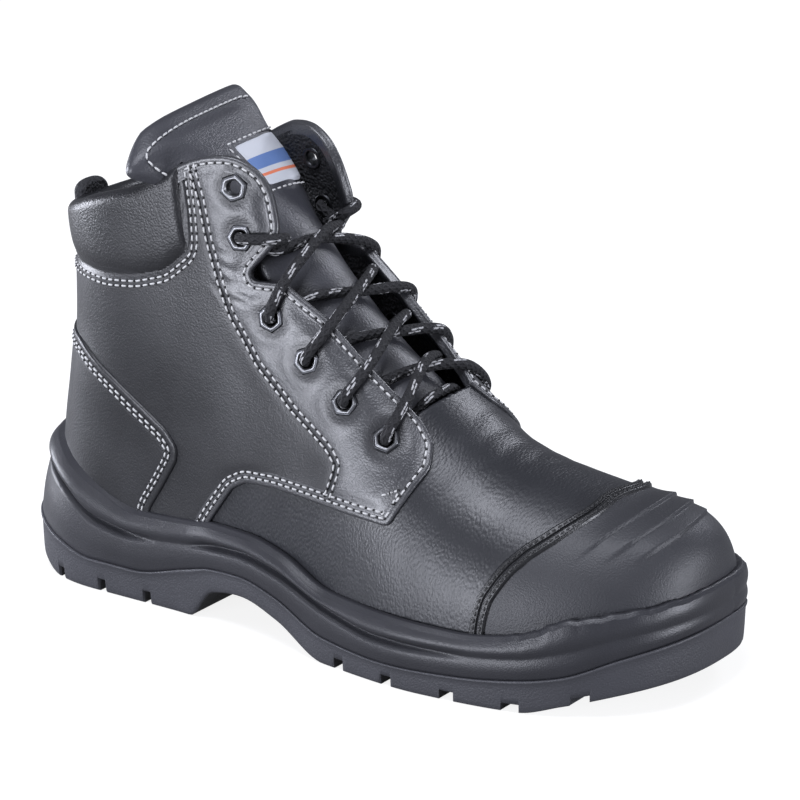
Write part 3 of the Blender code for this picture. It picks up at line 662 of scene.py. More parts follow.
def grain_group():
    """Leather grain: pebbles from cell distance broken by fine and wide noise, and a slow mottle."""
    tree, given, put = group(
        "leather_grain",
        [("Vector", "NodeSocketVector", None), ("Cells", "NodeSocketFloat", 900.0)],
        [("Height", "NodeSocketFloat"), ("Mottle", "NodeSocketFloat")],
    )
    where, count = given.outputs["Vector"], given.outputs["Cells"]
    cells = node(tree, "ShaderNodeTexVoronoi", feature="SMOOTH_F1")
    link(tree, where, cells.inputs["Vector"])
    link(tree, count, cells.inputs["Scale"])
    cells.inputs["Smoothness"].default_value = PEBBLE_SMOOTH
    fine = noise(tree, where, maths(tree, "MULTIPLY", count, FINE_SHARE), detail=3.0, rough=0.6)
    slow = noise(tree, where, MOTTLE_SCALE, detail=3.0, rough=0.55)
    wide = noise(tree, where, maths(tree, "MULTIPLY", count, WIDE_SHARE))
    pebbles = maths(tree, "MULTIPLY", cells.outputs["Distance"], PEBBLE_WEIGHT)
    bumps = maths(tree, "ADD", pebbles, maths(tree, "MULTIPLY", fine, FINE_WEIGHT))
    link(tree, maths(tree, "ADD", bumps, maths(tree, "MULTIPLY", wide, WIDE_WEIGHT)), put.inputs["Height"])
    link(tree, slow, put.inputs["Mottle"])
    return tree


# Braid: pale flecks lie in slow bands round the cord (centre, shift along), a share of each run long
FLECK_SLANT = (2.0, 0.05)
FLECK_BANDS = ((0.3, 0.0), (0.47, 0.12))
FLECK_HALF = 0.052
FLECK_PACE = 0.31
FLECK_SHARE = 0.5
STRAND_TOP = -0.35


def braid_group():
    """Braid on a cord's UV: two sets of slanting strands that pass over each other, some strands pale."""
    tree, given, put = group(
        "cord_braid",
        [("UV", "NodeSocketVector", None), ("Strands", "NodeSocketFloat", 5.0)],
        [("Height", "NodeSocketFloat"), ("Fleck", "NodeSocketFloat")],
    )
    split = node(tree, "ShaderNodeSeparateXYZ")
    link(tree, given.outputs["UV"], split.inputs["Vector"])
    along, round_cord = split.outputs["X"], split.outputs["Y"]
    around = maths(tree, "MULTIPLY", round_cord, given.outputs["Strands"])
    waves = [maths(tree, "SINE", maths(tree, "MULTIPLY", maths(tree, way, around, along), 2 * math.pi))
             for way in ("ADD", "SUBTRACT")]
    top = maths(tree, "MAXIMUM", *waves)
    link(tree, top, put.inputs["Height"])
    slow = (maths(tree, "MULTIPLY", value, pace) for value, pace in zip((round_cord, along), FLECK_SLANT))
    band = maths(tree, "FRACT", maths(tree, "ADD", *slow))
    dashes = []
    for centre, shift in FLECK_BANDS:
        off = maths(tree, "ABSOLUTE", maths(tree, "SUBTRACT", band, centre))
        run = maths(tree, "FRACT", maths(tree, "ADD", maths(tree, "MULTIPLY", along, FLECK_PACE), shift))
        dashes.append(maths(tree, "MULTIPLY", maths(tree, "LESS_THAN", off, FLECK_HALF),
                            maths(tree, "LESS_THAN", run, FLECK_SHARE)))
    woven = maths(tree, "GREATER_THAN", top, STRAND_TOP)
    link(tree, maths(tree, "MULTIPLY", maths(tree, "MAXIMUM", *dashes), woven), put.inputs["Fleck"])
    return tree


GRAIN = grain_group()
BRAID = braid_group()

# Coat of the eyestay, how much deeper its grain is, and the range of tones over the mottle
COAT_ROUGHNESS = 0.32
STAY_COAT = 0.7
STAY_GRAIN = 1.6
TONE_RANGE = (0.8, 1.25)


def new_material(name, colour, roughness, metallic=0.0, specular=0.5):
    """A material with one Principled shader, its tree and that shader."""
    made = bpy.data.materials.new(name)
    made.use_nodes = True
    made.diffuse_color = (*colour, 1.0)
    shader = made.node_tree.nodes["Principled BSDF"]
    shader.inputs["Base Color"].default_value = (*colour, 1.0)
    shader.inputs["Roughness"].default_value = roughness
    shader.inputs["Metallic"].default_value = metallic
    shader.inputs["Specular IOR Level"].default_value = specular
    shader.inputs["Coat Roughness"].default_value = COAT_ROUGHNESS
    return made, made.node_tree, shader


# Places of the Mix node's colour sockets, whose names it gives to its number sockets too
MIX_FACTOR, MIX_LOW, MIX_HIGH, MIX_RESULT = 0, 6, 7, 2


def blend_colour(tree, fac, low, high):
    """Colour mix by a mask."""
    made = node(tree, "ShaderNodeMix", data_type="RGBA")
    link(tree, fac, made.inputs[MIX_FACTOR])
    feed(tree, low, made.inputs[MIX_LOW])
    feed(tree, high, made.inputs[MIX_HIGH])
    return made.outputs[MIX_RESULT]


def bumped(tree, shader, value, distance):
    """The shader's normal bent by a height value, over a distance in metres."""
    bump = node(tree, "ShaderNodeBump")
    bump.inputs["Strength"].default_value = 1.0
    bump.inputs["Distance"].default_value = distance
    link(tree, value, bump.inputs["Height"])
    link(tree, bump.outputs["Normal"], shader.inputs["Normal"])


def leather(name, colour, roughness, cells, depth, spread=0.12, stretch=(1.0, 1.0, 1.0), specular=0.5,
            stay=None):
    """Grained leather: the grain group drives the bump, its mottle drives gloss and tone.

    With a stay colour, the piece's own "stay" value blends to that paler, coated leather; the coat is a
    finish, the paler colour partly painted highlight.
    """
    made, tree, shader = new_material(name, colour, roughness, specular=specular)
    where = node(tree, "ShaderNodeTexCoord")
    mapping = node(tree, "ShaderNodeMapping")
    mapping.inputs["Scale"].default_value = stretch
    link(tree, where.outputs["Object"], mapping.inputs["Vector"])
    grain = node(tree, "ShaderNodeGroup", node_tree=GRAIN)
    link(tree, mapping.outputs["Vector"], grain.inputs["Vector"])
    grain.inputs["Cells"].default_value = cells
    relief, mottle = grain.outputs["Height"], grain.outputs["Mottle"]
    tone = blend_colour(tree, mottle, *(tuple(c * share for c in colour) for share in TONE_RANGE))
    if stay:
        mask = node(tree, "ShaderNodeAttribute", attribute_name="stay").outputs["Fac"]
        tone = blend_colour(tree, mask, tone, stay)
        link(tree, maths(tree, "MULTIPLY", mask, STAY_COAT), shader.inputs["Coat Weight"])
        deeper = maths(tree, "ADD", maths(tree, "MULTIPLY", mask, STAY_GRAIN), 1.0)
        relief = maths(tree, "MULTIPLY", relief, deeper)
    bumped(tree, shader, relief, depth)
    link(tree, tone, shader.inputs["Base Color"])
    shift = maths(tree, "MULTIPLY", maths(tree, "SUBTRACT", mottle, 0.5), spread * 2)
    link(tree, maths(tree, "ADD", shift, roughness), shader.inputs["Roughness"])
    return made


def moulded(name, colour, roughness, cells, depth, specular=0.4):
    """Matte moulded rubber or foam with a fine skin."""
    return leather(name, colour, roughness, cells, depth, spread=0.08, specular=specular)


# Colour, roughness, grain cells in a metre and depth of the grain in metres
VAMP_LEATHER = leather("vamp_leather", (0.0105, 0.0112, 0.0142), 0.41, 1250.0, 0.00013,
                       stretch=(1.0, 0.36, 0.6))
# On the eyestay and rolled edges the panel leather turns paler and coated: the coat is a finish, the paler
# colour partly painted highlight
PANEL_LEATHER = leather("panel_leather", (0.0085, 0.0088, 0.0108), 0.4, 1300.0, 0.00009,
                        stay=(0.024, 0.0246, 0.0285))
CAP_LEATHER = leather("cap_leather", (0.017, 0.0175, 0.021), 0.52, 1400.0, 0.00012, spread=0.06)
BAND_LEATHER = leather("band_leather", (0.005, 0.0052, 0.0063), 0.38, 1500.0, 0.0001)
PAD_LEATHER = leather("pad_leather", (0.0085, 0.0087, 0.0105), 0.41, 1150.0, 0.00015)
# The tongue's paler tone stands in for the highlight on its top: painted highlight
TONGUE_HIGHLIGHT_LEATHER = leather("tongue_leather_painted_highlight", (0.031, 0.0316, 0.0375), 0.42, 1200.0, 0.00012)
LINING = leather("lining", (0.012, 0.0123, 0.015), 0.8, 800.0, 0.0012)
FOAM = moulded("midsole_pu", (0.0185, 0.0188, 0.0226), 0.42, 1600.0, 0.00007)
RUBBER = moulded("outsole_rubber", (0.036, 0.0365, 0.0425), 0.5, 1200.0, 0.00014)
INSOLE_CLOTH = leather("insole_cloth", (0.03, 0.03, 0.032), 0.9, 1200.0, 0.0002)
METAL = new_material("eyelet_metal", (0.045, 0.046, 0.05), 0.4, metallic=1.0)[0]
# Paler metal for the eyelets' rolled inner rims: painted highlight
RIM_HIGHLIGHT_METAL = new_material("eyelet_ring_painted_highlight", (0.2, 0.203, 0.212), 0.4, metallic=1.0)[0]
THREAD = new_material("white_thread", (0.44, 0.44, 0.44), 0.75)[0]
# Black thread: real on the toe cap seam, and painted needle-hole shade in the beads between white stitches
DARK_THREAD_AND_NEEDLE_SHADE = new_material("black_thread_and_needle_shade", (0.008, 0.008, 0.009), 0.6)[0]

# Cord: its dark and pale strands and the depth of its braid in metres
CORD_DARK = (0.017, 0.017, 0.019)
CORD_PALE = (0.36, 0.36, 0.37)
CORD_BUMP = 0.0004
# Label: bare cloth with a band and a thin line, at shares of its length
LABEL_CLOTH = (0.42, 0.435, 0.47)
LABEL_STRIPES = (((0.36, 0.62), (0.085, 0.15, 0.33)), ((0.72, 0.78), (0.55, 0.15, 0.075)))
LABEL_WEAVE = 180.0
LABEL_BUMP = 0.0001


def cord_material():
    """Dark braided cord with pale flecks, from the braid group on its UV."""
    made, tree, shader = new_material("lace_cord", (0.022, 0.022, 0.024), 0.8, specular=0.3)
    uv = node(tree, "ShaderNodeTexCoord")
    braid = node(tree, "ShaderNodeGroup", node_tree=BRAID)
    link(tree, uv.outputs["UV"], braid.inputs["UV"])
    bumped(tree, shader, braid.outputs["Height"], CORD_BUMP)
    link(tree, blend_colour(tree, braid.outputs["Fleck"], CORD_DARK, CORD_PALE), shader.inputs["Base Color"])
    return made


def label_material():
    """Pale woven patch with one blue band and one thin orange line, read from its UV."""
    made, tree, shader = new_material("label_fabric", LABEL_CLOTH, 0.75)
    uv = node(tree, "ShaderNodeTexCoord")
    split = node(tree, "ShaderNodeSeparateXYZ")
    link(tree, uv.outputs["UV"], split.inputs["Vector"])
    down = split.outputs["X"]
    tone = LABEL_CLOTH
    for (start, end), colour in LABEL_STRIPES:
        ends = maths(tree, "GREATER_THAN", down, start), maths(tree, "LESS_THAN", down, end)
        stripe = maths(tree, "MULTIPLY", *ends)
        tone = blend_colour(tree, stripe, tone, colour)
    link(tree, tone, shader.inputs["Base Color"])
    bumped(tree, shader, noise(tree, uv.outputs["UV"], LABEL_WEAVE), LABEL_BUMP)
    return made


CORD = cord_material()
LABEL = label_material()


# Thread rows: places along one stitch, its thickness there, its sides, and how it arches and dips
STITCH_ALONG = np.array([-0.5, -0.44, -0.3, 0.0, 0.3, 0.44, 0.5])
STITCH_THICK = np.array([0.15, 0.65, 0.95, 1.0, 0.95, 0.65, 0.15])
STITCH_SIDES = 6
STITCH_ARCH = 0.55
STITCH_DIP = 1.5


def thread_row(points, normals, pitch=STITCH_PITCH, length=STITCH_LENGTH, radius=STITCH_RADIUS, shift=0.0):
    """Stitches along a row: each is a short arched bead, thickest in the middle, its ends dipping in."""
    run = length_along(points)
    count = max(int(run[-1] / pitch), 1)
    middle = np.minimum((np.arange(count) + 0.5 + shift) * run[-1] / count, run[-1] - length / 2)
    at = middle[:, None] + STITCH_ALONG * length
    centre = read_line(at, run, points)
    out = unit(read_line(at, run, normals))
    way = unit(np.gradient(centre, axis=1))
    across = unit(np.cross(out, way))
    centre = centre + out * (radius * (STITCH_ARCH - STITCH_DIP * (2 * STITCH_ALONG) ** 4))[None, :, None]
    turn = np.arange(STITCH_SIDES) * math.pi / (STITCH_SIDES / 2)
    ring = across[:, :, None] * np.cos(turn)[:, None] + out[:, :, None] * np.sin(turn)[:, None]
    body = centre[:, :, None] + ring * (STITCH_THICK * radius)[None, :, None, None]
    faces = quads(len(STITCH_ALONG), STITCH_SIDES, closed=True)
    first = np.arange(count) * len(STITCH_ALONG) * STITCH_SIDES
    return body.reshape(-1, 3), (faces[None] + first[:, None, None]).reshape(-1, 4)


WHITE_ROWS = []
BLACK_ROWS = []
NEEDLE_SHADE_ROWS = []


def sew(path, distance, lift, turn, keep=None, **sizes):
    """White stitches beside a path on the outer face, kept by a mask, with dark beads as painted needle-hole
    shade.
    """
    points, normals = lifted(*(beside(path, distance, turn) if distance else path).T, lift)
    if keep is not None:
        points, normals = points[keep], normals[keep]
    WHITE_ROWS.append(thread_row(points, normals, **sizes))
    NEEDLE_SHADE_ROWS.append(thread_row(points, normals, shift=0.5, length=NEEDLE_SHADE_LENGTH, radius=NEEDLE_SHADE_RADIUS))


# Quarters: the shaft walls with the eyestay, throat edge and lower edge
EDGE_PROFILE = (
    (5.0, -WALL), (1.2, -WALL), (0.5, -2.2), (0.1, -1.6), (0.4, -0.5), (0.05, 0.3), (0.0, 0.8), (0.15, 1.3),
    (0.55, 1.6), (1.2, 1.72), (2.0, 1.7), (2.6, 1.5), (3.2, 1.7), (3.9, 1.7), (4.6, 1.52), (5.2, 1.7),
    (6.0, 1.7),
)
FLAP_CREASES = (
    ((103, 151), (107, 150), (113, 148)), ((104, 147), (109, 144), (115, 142.5)),
    ((103.5, 143), (110, 139), (117, 138)), ((106, 139.5), (112, 136.5), (120, 135)),
    ((108, 135), (114, 132), (121, 131)), ((102, 139), (106, 135), (112, 129)),
)
QUARTER_STEP = 1.25
EDGE_OVERLAP = 3.4
EDGE_CALM = (4.4, 5.0)
# Height of the sheet, a hair below the rolled edge
SHEET_LIFT = PANEL - 0.03
# The eyestay's ramp below gives the mask of paler, coated leather, partly painted highlight
# Relief by distance, as (amount, width) at a line or (amount, distance, width) beside it
STAY_RISE, STAY_SLOPE, STAY_COAT_AND_HIGHLIGHT = 0.45, (-1.6, 3.2), (-1.0, 2.0)
STAY_GROOVE = (0.25, 1.3, 0.8)
# The eyelets' third entry: a darker, uncoated ring round each eyelet, painted shade in its dimple
EYELET_DIP, EYELET_SWELL, EYELET_MATTE_SHADE = (0.55, 6.5), (0.18, 9.0, 2.2), (0.9, 8.5)
EYELET_HOLE = 2.9
CREASE_DIP, CREASE_SWELL = (0.26, 1.0), (0.1, 2.0, 1.1)
PAD_GROOVE = (1.1, 1.1)
# Slow waves: height, (pace, shift) along and up, and how far from the eyestay they come in full
WAVE_HEIGHT, WAVE_ALONG, WAVE_UP, WAVE_FROM = 0.35, (0.083, 1.1), (0.071, 0.4), 12
# Stitches: distances of the edge rows and of the eyestay's pair, the eyestay's top, and corner tacks
EDGE_SEW, SECOND_SEW, STAY_SEW, STAY_TOP_Z = 2.6, 4.7, 1.25, 183.5
SUNK, RAISED, TACK_LIFT = -0.1, 0.15, 0.22
TACK_SIZES = {"pitch": 2.4, "length": 2.0}
# Where the border rows run: down from the collar corner along the throat, and along the lower edge
THROAT_ROW_X, THROAT_ROW_Z, THROAT_ROW_END_X = 87.5, 86, 196
LOWER_ROW_Z, LOWER_ROW_X, SECOND_ROW_X = 64, 201, 194
TACKS = (((187.8, 69.4), (194.2, 72.2)), ((194.0, 71.4), (193.0, 66.8)))


def at_side(path):
    """Points of the outer face along an (s, z) path."""
    return side_point(path[:, 0], path[:, 1])


def quarter(side):
    """Clipped sheets for the outer and inner faces with a rounded two-layer edge carried along the border.

    The outer sheet's height is the panel's, raised over the eyestay, dipped round eyelets, seams and creases.
    """
    turn = 1 if side < 0 else -1
    edge = throat_edge(side)
    back_line = np.stack([np.zeros(2), np.array(QUARTER_BACK_Z)], -1)
    drawn = beside(edge, EDGE_OVERLAP, -turn)
    under, top = on_side(QUARTER_UNDER, side), on_side(QUARTER_TOP, side)
    nodes, faces = clipped_sheet(np.concatenate([drawn, under, back_line, top]), QUARTER_STEP)
    here, out, _, _ = frame_at(nodes[:, 0], nodes[:, 1])
    lift = np.full(len(nodes), SHEET_LIFT)
    stay = on_side(EYESTAY_SEAM, side)
    stay_points = at_side(stay)
    gap, place = nearest(here, stay_points)
    ahead = (here - stay_points[place])[:, 0] > 0
    signed = np.where(ahead, gap, -gap)
    settled = ramp(nearest(here, at_side(edge))[0], *EDGE_CALM)
    lift += STAY_RISE * ramp(signed, *STAY_SLOPE) * settled
    lift -= STAY_GROOVE[0] * bell(np.abs(signed) - STAY_GROOVE[1], STAY_GROOVE[2])
    keep = np.ones(len(nodes), bool)
    # Mask of the paler, coated leather ahead of the eyestay seam: partly painted highlight
    coat_and_painted_highlight = ramp(signed, *STAY_COAT_AND_HIGHLIGHT)
    for x, z in EYELETS:
        spot = side_point(side_s(np.array([x]), np.array([z]), side), np.array([z]))[0]
        far = np.linalg.norm(here - spot, axis=1)
        lift -= EYELET_DIP[0] * bell(far, EYELET_DIP[1], 4)
        lift += EYELET_SWELL[0] * bell(far - EYELET_SWELL[1], EYELET_SWELL[2])
        # Round each eyelet the mask drops: a darker, uncoated ring, painted shade in the dimple
        coat_and_painted_highlight *= 1 - EYELET_MATTE_SHADE[0] * bell(far, EYELET_MATTE_SHADE[1], 4)
        keep &= far > EYELET_HOLE
    for crease in FLAP_CREASES:
        line = on_side(crease, side, blur=1.0)
        far, at = nearest(here, at_side(line))
        fade = np.sin(math.pi * np.clip(at / len(line), 0, 1))
        dip = -CREASE_DIP[0] * bell(far, CREASE_DIP[1])
        lift += fade * (dip + CREASE_SWELL[0] * bell(far - CREASE_SWELL[1], CREASE_SWELL[2]))
    pad_line = on_side(PAD_FRONT[::-1] + PAD_LOW[1:], side)
    lift -= PAD_GROOVE[0] * bell(nearest(here, at_side(pad_line))[0], PAD_GROOVE[1])
    along, up = (np.sin(here[:, k] * pace + shift) for k, (pace, shift) in ((0, WAVE_ALONG), (2, WAVE_UP)))
    lift += WAVE_HEIGHT * (along * up) * ease(gap / WAVE_FROM) * settled
    outer = here + out * lift[:, None]
    inner = here - out * WALL
    faces = faces[keep[faces].all(1)]
    rim, rim_faces = strip(edge, EDGE_PROFILE, -turn)
    return edge, stay, here, lift, outer, inner, faces, rim, rim_faces, coat_and_painted_highlight


def build_quarter(side, name):
    """One quarter's piece, and the stitches along its edges and its eyestay."""
    turn = 1 if side < 0 else -1
    edge, stay, here, lift, outer, inner, faces, rim, rim_faces, coat_and_painted_highlight = quarter(side)
    # Paler, coated leather, partly painted highlight: by the mask on the outer sheet, none on the lining,
    # full on the rolled edge
    values = {"stay": np.concatenate([coat_and_painted_highlight, np.zeros(len(inner)), np.ones(len(rim))])}
    made = piece(name + "_leather", [(outer, faces), (inner, faces[:, ::-1], 1), (rim, rim_faces)],
                 [PANEL_LEATHER, LINING], values=values)
    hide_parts(name)
    level = edge[:, 1]
    x = at_side(edge)[:, 0]
    throat = (x > THROAT_ROW_X) & ((level > THROAT_ROW_Z) | (x > THROAT_ROW_END_X))
    below = (level < LOWER_ROW_Z) & (x < LOWER_ROW_X)
    sew(edge, EDGE_SEW, PANEL + SUNK, -turn, keep=throat)
    sew(edge, EDGE_SEW, PANEL + SUNK, -turn, keep=below)
    sew(edge, SECOND_SEW, PANEL + SUNK, -turn, keep=below & (x < SECOND_ROW_X))
    for distance in (-STAY_SEW, STAY_SEW):
        sew(stay, distance, PANEL + RAISED, -turn, keep=stay[:, 1] < STAY_TOP_Z)
    for tack in TACKS:
        line = on_side(tack, side, blur=0.3)
        under = lift[nearest(at_side(line), here)[1]]
        sew(line, 0.0, under + TACK_LIFT, -turn, **TACK_SIZES)


build_quarter(LATERAL, "quarter_lateral")
build_quarter(MEDIAL, "quarter_medial")


# Heel counter, across the back of both quarters
BRIDGE_COUNT = 61


def both_sides(points, back_z):
    """A lateral side-view line carried round the back, by half a wave of level, to its medial mirror."""
    near_side = on_side(points, LATERAL)
    far_side = on_side(points, MEDIAL)[::-1]
    end_s, end_z = near_side[-1]
    bridge_s = np.linspace(end_s, far_side[0, 0], BRIDGE_COUNT)[1:-1]
    bridge_z = end_z + (back_z - end_z) * np.sin(np.linspace(0, math.pi, BRIDGE_COUNT))[1:-1]
    return np.concatenate([near_side, np.stack([bridge_s, bridge_z], -1), far_side])


COUNTER_PROFILE = (
    (-0.1, 0.9), (0.0, 1.7), (0.25, 2.25), (0.8, 2.5), (1.8, 2.55), (2.8, 2.45), (3.6, 2.2), (4.5, 2.42),
    (5.4, 2.2), (6.3, 2.45), (7.0, 2.5),
)
COUNTER_STEP = 1.6
COUNTER_OVERLAP = 4.0
COUNTER_LIFT = 2.47
COUNTER_SEW = (3.6, 5.4)
COUNTER_SEW_LIFT = 2.3
counter_edge = both_sides(COUNTER_EDGE, COUNTER_BACK_Z)
counter_low = both_sides(COUNTER_LOW, COUNTER_LOW_BACK_Z)[::-1]
counter_outline = np.concatenate([beside(counter_edge, COUNTER_OVERLAP, 1), counter_low])
nodes, faces = clipped_sheet(counter_outline, COUNTER_STEP)
counter_face = lifted(nodes[:, 0], nodes[:, 1], COUNTER_LIFT)[0]
heel_counter = piece("heel_counter_leather", [(counter_face, faces), strip(counter_edge, COUNTER_PROFILE, 1)],
                     [PANEL_LEATHER])
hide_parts("heel_counter")
for distance in COUNTER_SEW:
    sew(counter_edge, distance, COUNTER_SEW_LIFT, 1)


# Collar pad: an outer face that swells from its groove, rolls over the top and goes down inside
PAD_STEP = 0.5
PAD_COUNT = 300
PAD_HALF_RUN = 150.0
PAD_FACE_ROWS, PAD_ROLL_ROWS, PAD_INNER_ROWS = 34, 15, 14
PAD_FACE_POWER = 1.5
PAD_SPLIT = 45
PAD_SEW = (2.4, 4.5)
# Height at the groove, at the front ends and what the swell adds outside and inside
PAD_GROOVE_LIFT = 0.6
PAD_OUTER = (1.0, 2.7)
PAD_INNER = (-WALL - 0.4, 2.8)
PAD_INNER_FALL = 0.6
PAD_END, PAD_END_POWER = 2.6, 1.2
PAD_RISE, PAD_RISE_POWER = 4.6, 1.15
PAD_BULGE = 0.1


def pad_lines(count):
    """Lower and upper border of the pad as (s, z), from the lateral front round the back to the medial."""
    lines = []
    for points, middle in ((PAD_LOW, PAD_LOW_BACK_Z), (PAD_TOP, PAD_TOP_BACK_Z)):
        line = resample(both_sides(points, middle), PAD_STEP)
        lines.append(read_line(np.linspace(0, 1, count), np.linspace(0, 1, len(line)), line))
    return lines


def pad_rise(reach):
    """Share of the full swell at a distance up from the groove."""
    return 1 - np.exp(-(reach / PAD_RISE) ** PAD_RISE_POWER)


def pad_section(low, top, front):
    """(s, z, height) rows of the pad's section: a swelling outer face, a half round over the top, the inside.

    front is the distance from the pad's nearer front end, where the swell dies out.
    """
    full = 1 - np.exp(-(front / PAD_END) ** PAD_END_POWER)
    outer_height = PAD_OUTER[0] + PAD_OUTER[1] * full
    inner_height = PAD_INNER[0] - PAD_INNER[1] * full
    radius = (outer_height - inner_height) / 2
    middle = (outer_height + inner_height) / 2
    rows = []
    tall = top[:, 1] - low[:, 1]
    for b in np.linspace(0, 1, PAD_FACE_ROWS) ** PAD_FACE_POWER:
        place = low + (top - low) * b * (1 - radius / tall)[:, None]
        rise = pad_rise(b * tall) * (1 - PAD_BULGE * np.cos(math.pi * b))
        most = np.maximum(pad_rise(tall) * (1 + PAD_BULGE), 1e-6)
        rows.append((*place.T, PAD_GROOVE_LIFT + (outer_height - PAD_GROOVE_LIFT) * rise / most))
    for angle in np.linspace(0, math.pi, PAD_ROLL_ROWS)[1:]:
        share = 1 - radius / tall + np.sin(angle) * radius / tall
        place = low + (top - low) * share[:, None]
        rows.append((*place.T, middle + radius * np.cos(angle)))
    for b in np.linspace(0, 1, PAD_INNER_ROWS)[1:]:
        place = low + (top - low) * ((1 - radius / tall) * (1 - b))[:, None]
        rows.append((*place.T, inner_height + b * PAD_INNER_FALL))
    return rows


pad_front = (1 - np.abs(np.linspace(-1, 1, PAD_COUNT))) * PAD_HALF_RUN
pad_grid = np.stack([lifted(*row)[0] for row in pad_section(*pad_lines(PAD_COUNT), pad_front)])
pad_outer, pad_inside = pad_grid[:PAD_SPLIT], pad_grid[PAD_SPLIT - 1:]
collar_pad = piece("collar_padding", [(pad_outer, quads(*pad_outer.shape[:2])),
                                      (pad_inside, quads(*pad_inside.shape[:2]), 1)], [PAD_LEATHER, LINING])
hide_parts("collar_pad", "upper")
pad_border = both_sides(PAD_FRONT[::-1] + PAD_LOW[1:], PAD_LOW_BACK_Z)
for distance in PAD_SEW:
    sew(pad_border, distance, PANEL + SUNK, 1)


# Back tab over the collar's middle and the stay strip under it
BACKSTAY_ACROSS = np.array([-1.0, -0.985, -0.94, -0.8, -0.4, 0.0, 0.4, 0.8, 0.94, 0.985, 1.0])
BACKSTAY_DROP = np.array([-1.2, -0.5, -0.12, 0.0, 0.06, 0.08, 0.06, 0.0, -0.12, -0.5, -1.2])
BACKSTAY_HALF = 6.5
BACKSTAY_LIFT = 1.2
BACKSTAY_LEVELS = np.linspace(101, 135, 24)
TAB_ACROSS = np.sin(np.linspace(-1, 1, 31) * math.pi / 2)
TAB_HALF = 9.0
TAB_LIFT = 1.9
TAB_HALF_THICK = 2.7
TAB_ROLL = 2.0
TAB_FRONT_Z, TAB_TOP_Z, TAB_BACK_Z = 139, 156.4, 144
TAB_CORNER = 6.5
# How square the tab is in section and along its top, and rows up its front, over its roll and down its back
TAB_SECTION_POWER, TAB_TOP_POWER = 6, 2.6
TAB_UP, TAB_OVER, TAB_DOWN = 16, 13, 10


def back_grid(name, across, half, rows, look):
    """A narrow piece up the back seam: rows of (level, height) carried across the seam."""
    grid = np.stack([lifted(across * half, z, lift)[0] for z, lift in rows])
    return piece(name, [(grid, quads(len(grid), len(across), flip=True))], [look])


def tab_rows():
    """A flat pillow over the collar's back: a ring of (level, height) rows, thinning toward its sides."""
    full = np.maximum(1 - np.abs(TAB_ACROSS) ** TAB_SECTION_POWER, 0) ** 0.5
    top = TAB_TOP_Z - TAB_CORNER * (1 - rounded(np.abs(TAB_ACROSS), TAB_TOP_POWER))
    thick = TAB_HALF_THICK * full
    up, down = np.linspace(0, 1, TAB_UP)[:-1], np.linspace(0, 1, TAB_DOWN)[1:]
    turn = np.linspace(0, math.pi, TAB_OVER)
    rows = [(TAB_FRONT_Z + (top - TAB_FRONT_Z) * b, TAB_LIFT + thick) for b in up]
    rows += [(top + TAB_ROLL * full * math.sin(a), TAB_LIFT + thick * math.cos(a)) for a in turn]
    rows += [(top - (top - TAB_BACK_Z) * b, TAB_LIFT - thick) for b in down]
    return rows


back_tab = back_grid("back_tab_cloth", TAB_ACROSS, TAB_HALF, tab_rows(), LINING)
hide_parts("back_tab")
backstay_lift = PANEL + BACKSTAY_LIFT + BACKSTAY_DROP
backstay_rows = [(np.full_like(BACKSTAY_ACROSS, z), backstay_lift) for z in BACKSTAY_LEVELS]
backstay = back_grid("backstay_leather", BACKSTAY_ACROSS, BACKSTAY_HALF, backstay_rows, PANEL_LEATHER)
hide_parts("backstay")


# Vamp and toe cap on the ring grid
VAMP_ROWS, VAMP_COLUMNS = 110, 360
VAMP_SPAN = (0.165, 0.835)
REACH_COUNT = 500
# Creases over the ball: place along the foot, width, depth and a shift for how each wanders
VAMP_CREASES = (
    (204, 2.2, 0.2, 4.0), (211, 2.0, 0.17, 9.0), (219, 2.4, 0.2, 2.0), (227, 2.2, 0.15, 7.0),
    (235, 2.6, 0.12, 5.0),
)
CREASE_MIDDLE_Y = 4
CREASE_BEND = 0.006
CREASE_HALF = 26.0
CREASE_WANDER = ((1.6, 0.11, 1), (0.8, 0.31, 2))
CREASE_ASIDE = 6
CREASE_AHEAD = (0.45, 2, 1.3)
VAMP_CALM_LOW, VAMP_CALM_TOP = 0.12, (0.93, 0.06)
VAMP_FOLD = ((0.35, 0.05), (0.9, 0.5), (1.1, 1.2), (0.8, 1.9), (0.0, 2.3), (-3.0, 2.4), (-8.0, 2.4))


def reach_up(u, outline):
    """How far up each ring column stays inside a side-view outline."""
    v = np.linspace(0, 1, REACH_COUNT)
    points = upper_point(np.repeat(u[:, None], REACH_COUNT, 1), np.repeat(v[None], len(u), 0))
    side_view = points[..., [0, 2]].reshape(-1, 2)
    inside = within(np.asarray(outline, float), side_view).reshape(len(u), REACH_COUNT)
    first_out = np.where(inside.all(1), REACH_COUNT - 1, np.argmin(inside, 1))
    return v[np.maximum(first_out - 1, 0)]


def grid_normals(points):
    """Outward normals of a grid, from its differences across and up."""
    across = np.gradient(points, axis=1)
    up = np.gradient(points, axis=0)
    return unit(np.cross(across, up))


def running_mean(values, reach):
    """Values smoothed by a bell-weighted mean over a reach to both sides."""
    weight = np.hanning(2 * reach + 1)
    weight /= weight.sum()
    return np.convolve(np.pad(values, reach, "edge"), weight, "valid")


def smoothed(points, reach):
    """A line's points, each column smoothed by the running mean."""
    return np.stack([running_mean(column, reach) for column in points.T], -1)


def vamp_relief(x, y):
    """Height of the creases: wandering grooves across the foot, each with a low swell ahead of it."""
    bent = x + CREASE_BEND * (y - CREASE_MIDDLE_Y) ** 2
    lift = np.zeros(x.shape)
    for place, wide, deep, shift in VAMP_CREASES:
        for reach, pace, turns in CREASE_WANDER:
            place = place + reach * np.sin(y * pace + turns * shift)
        far = bent - place
        fade = bell(y - CREASE_MIDDLE_Y + CREASE_ASIDE * math.sin(shift), CREASE_HALF, 4)
        high, ahead, long = CREASE_AHEAD
        lift += fade * deep * (high * bell(far - ahead * wide, long * wide) - bell(far, wide))
    return lift


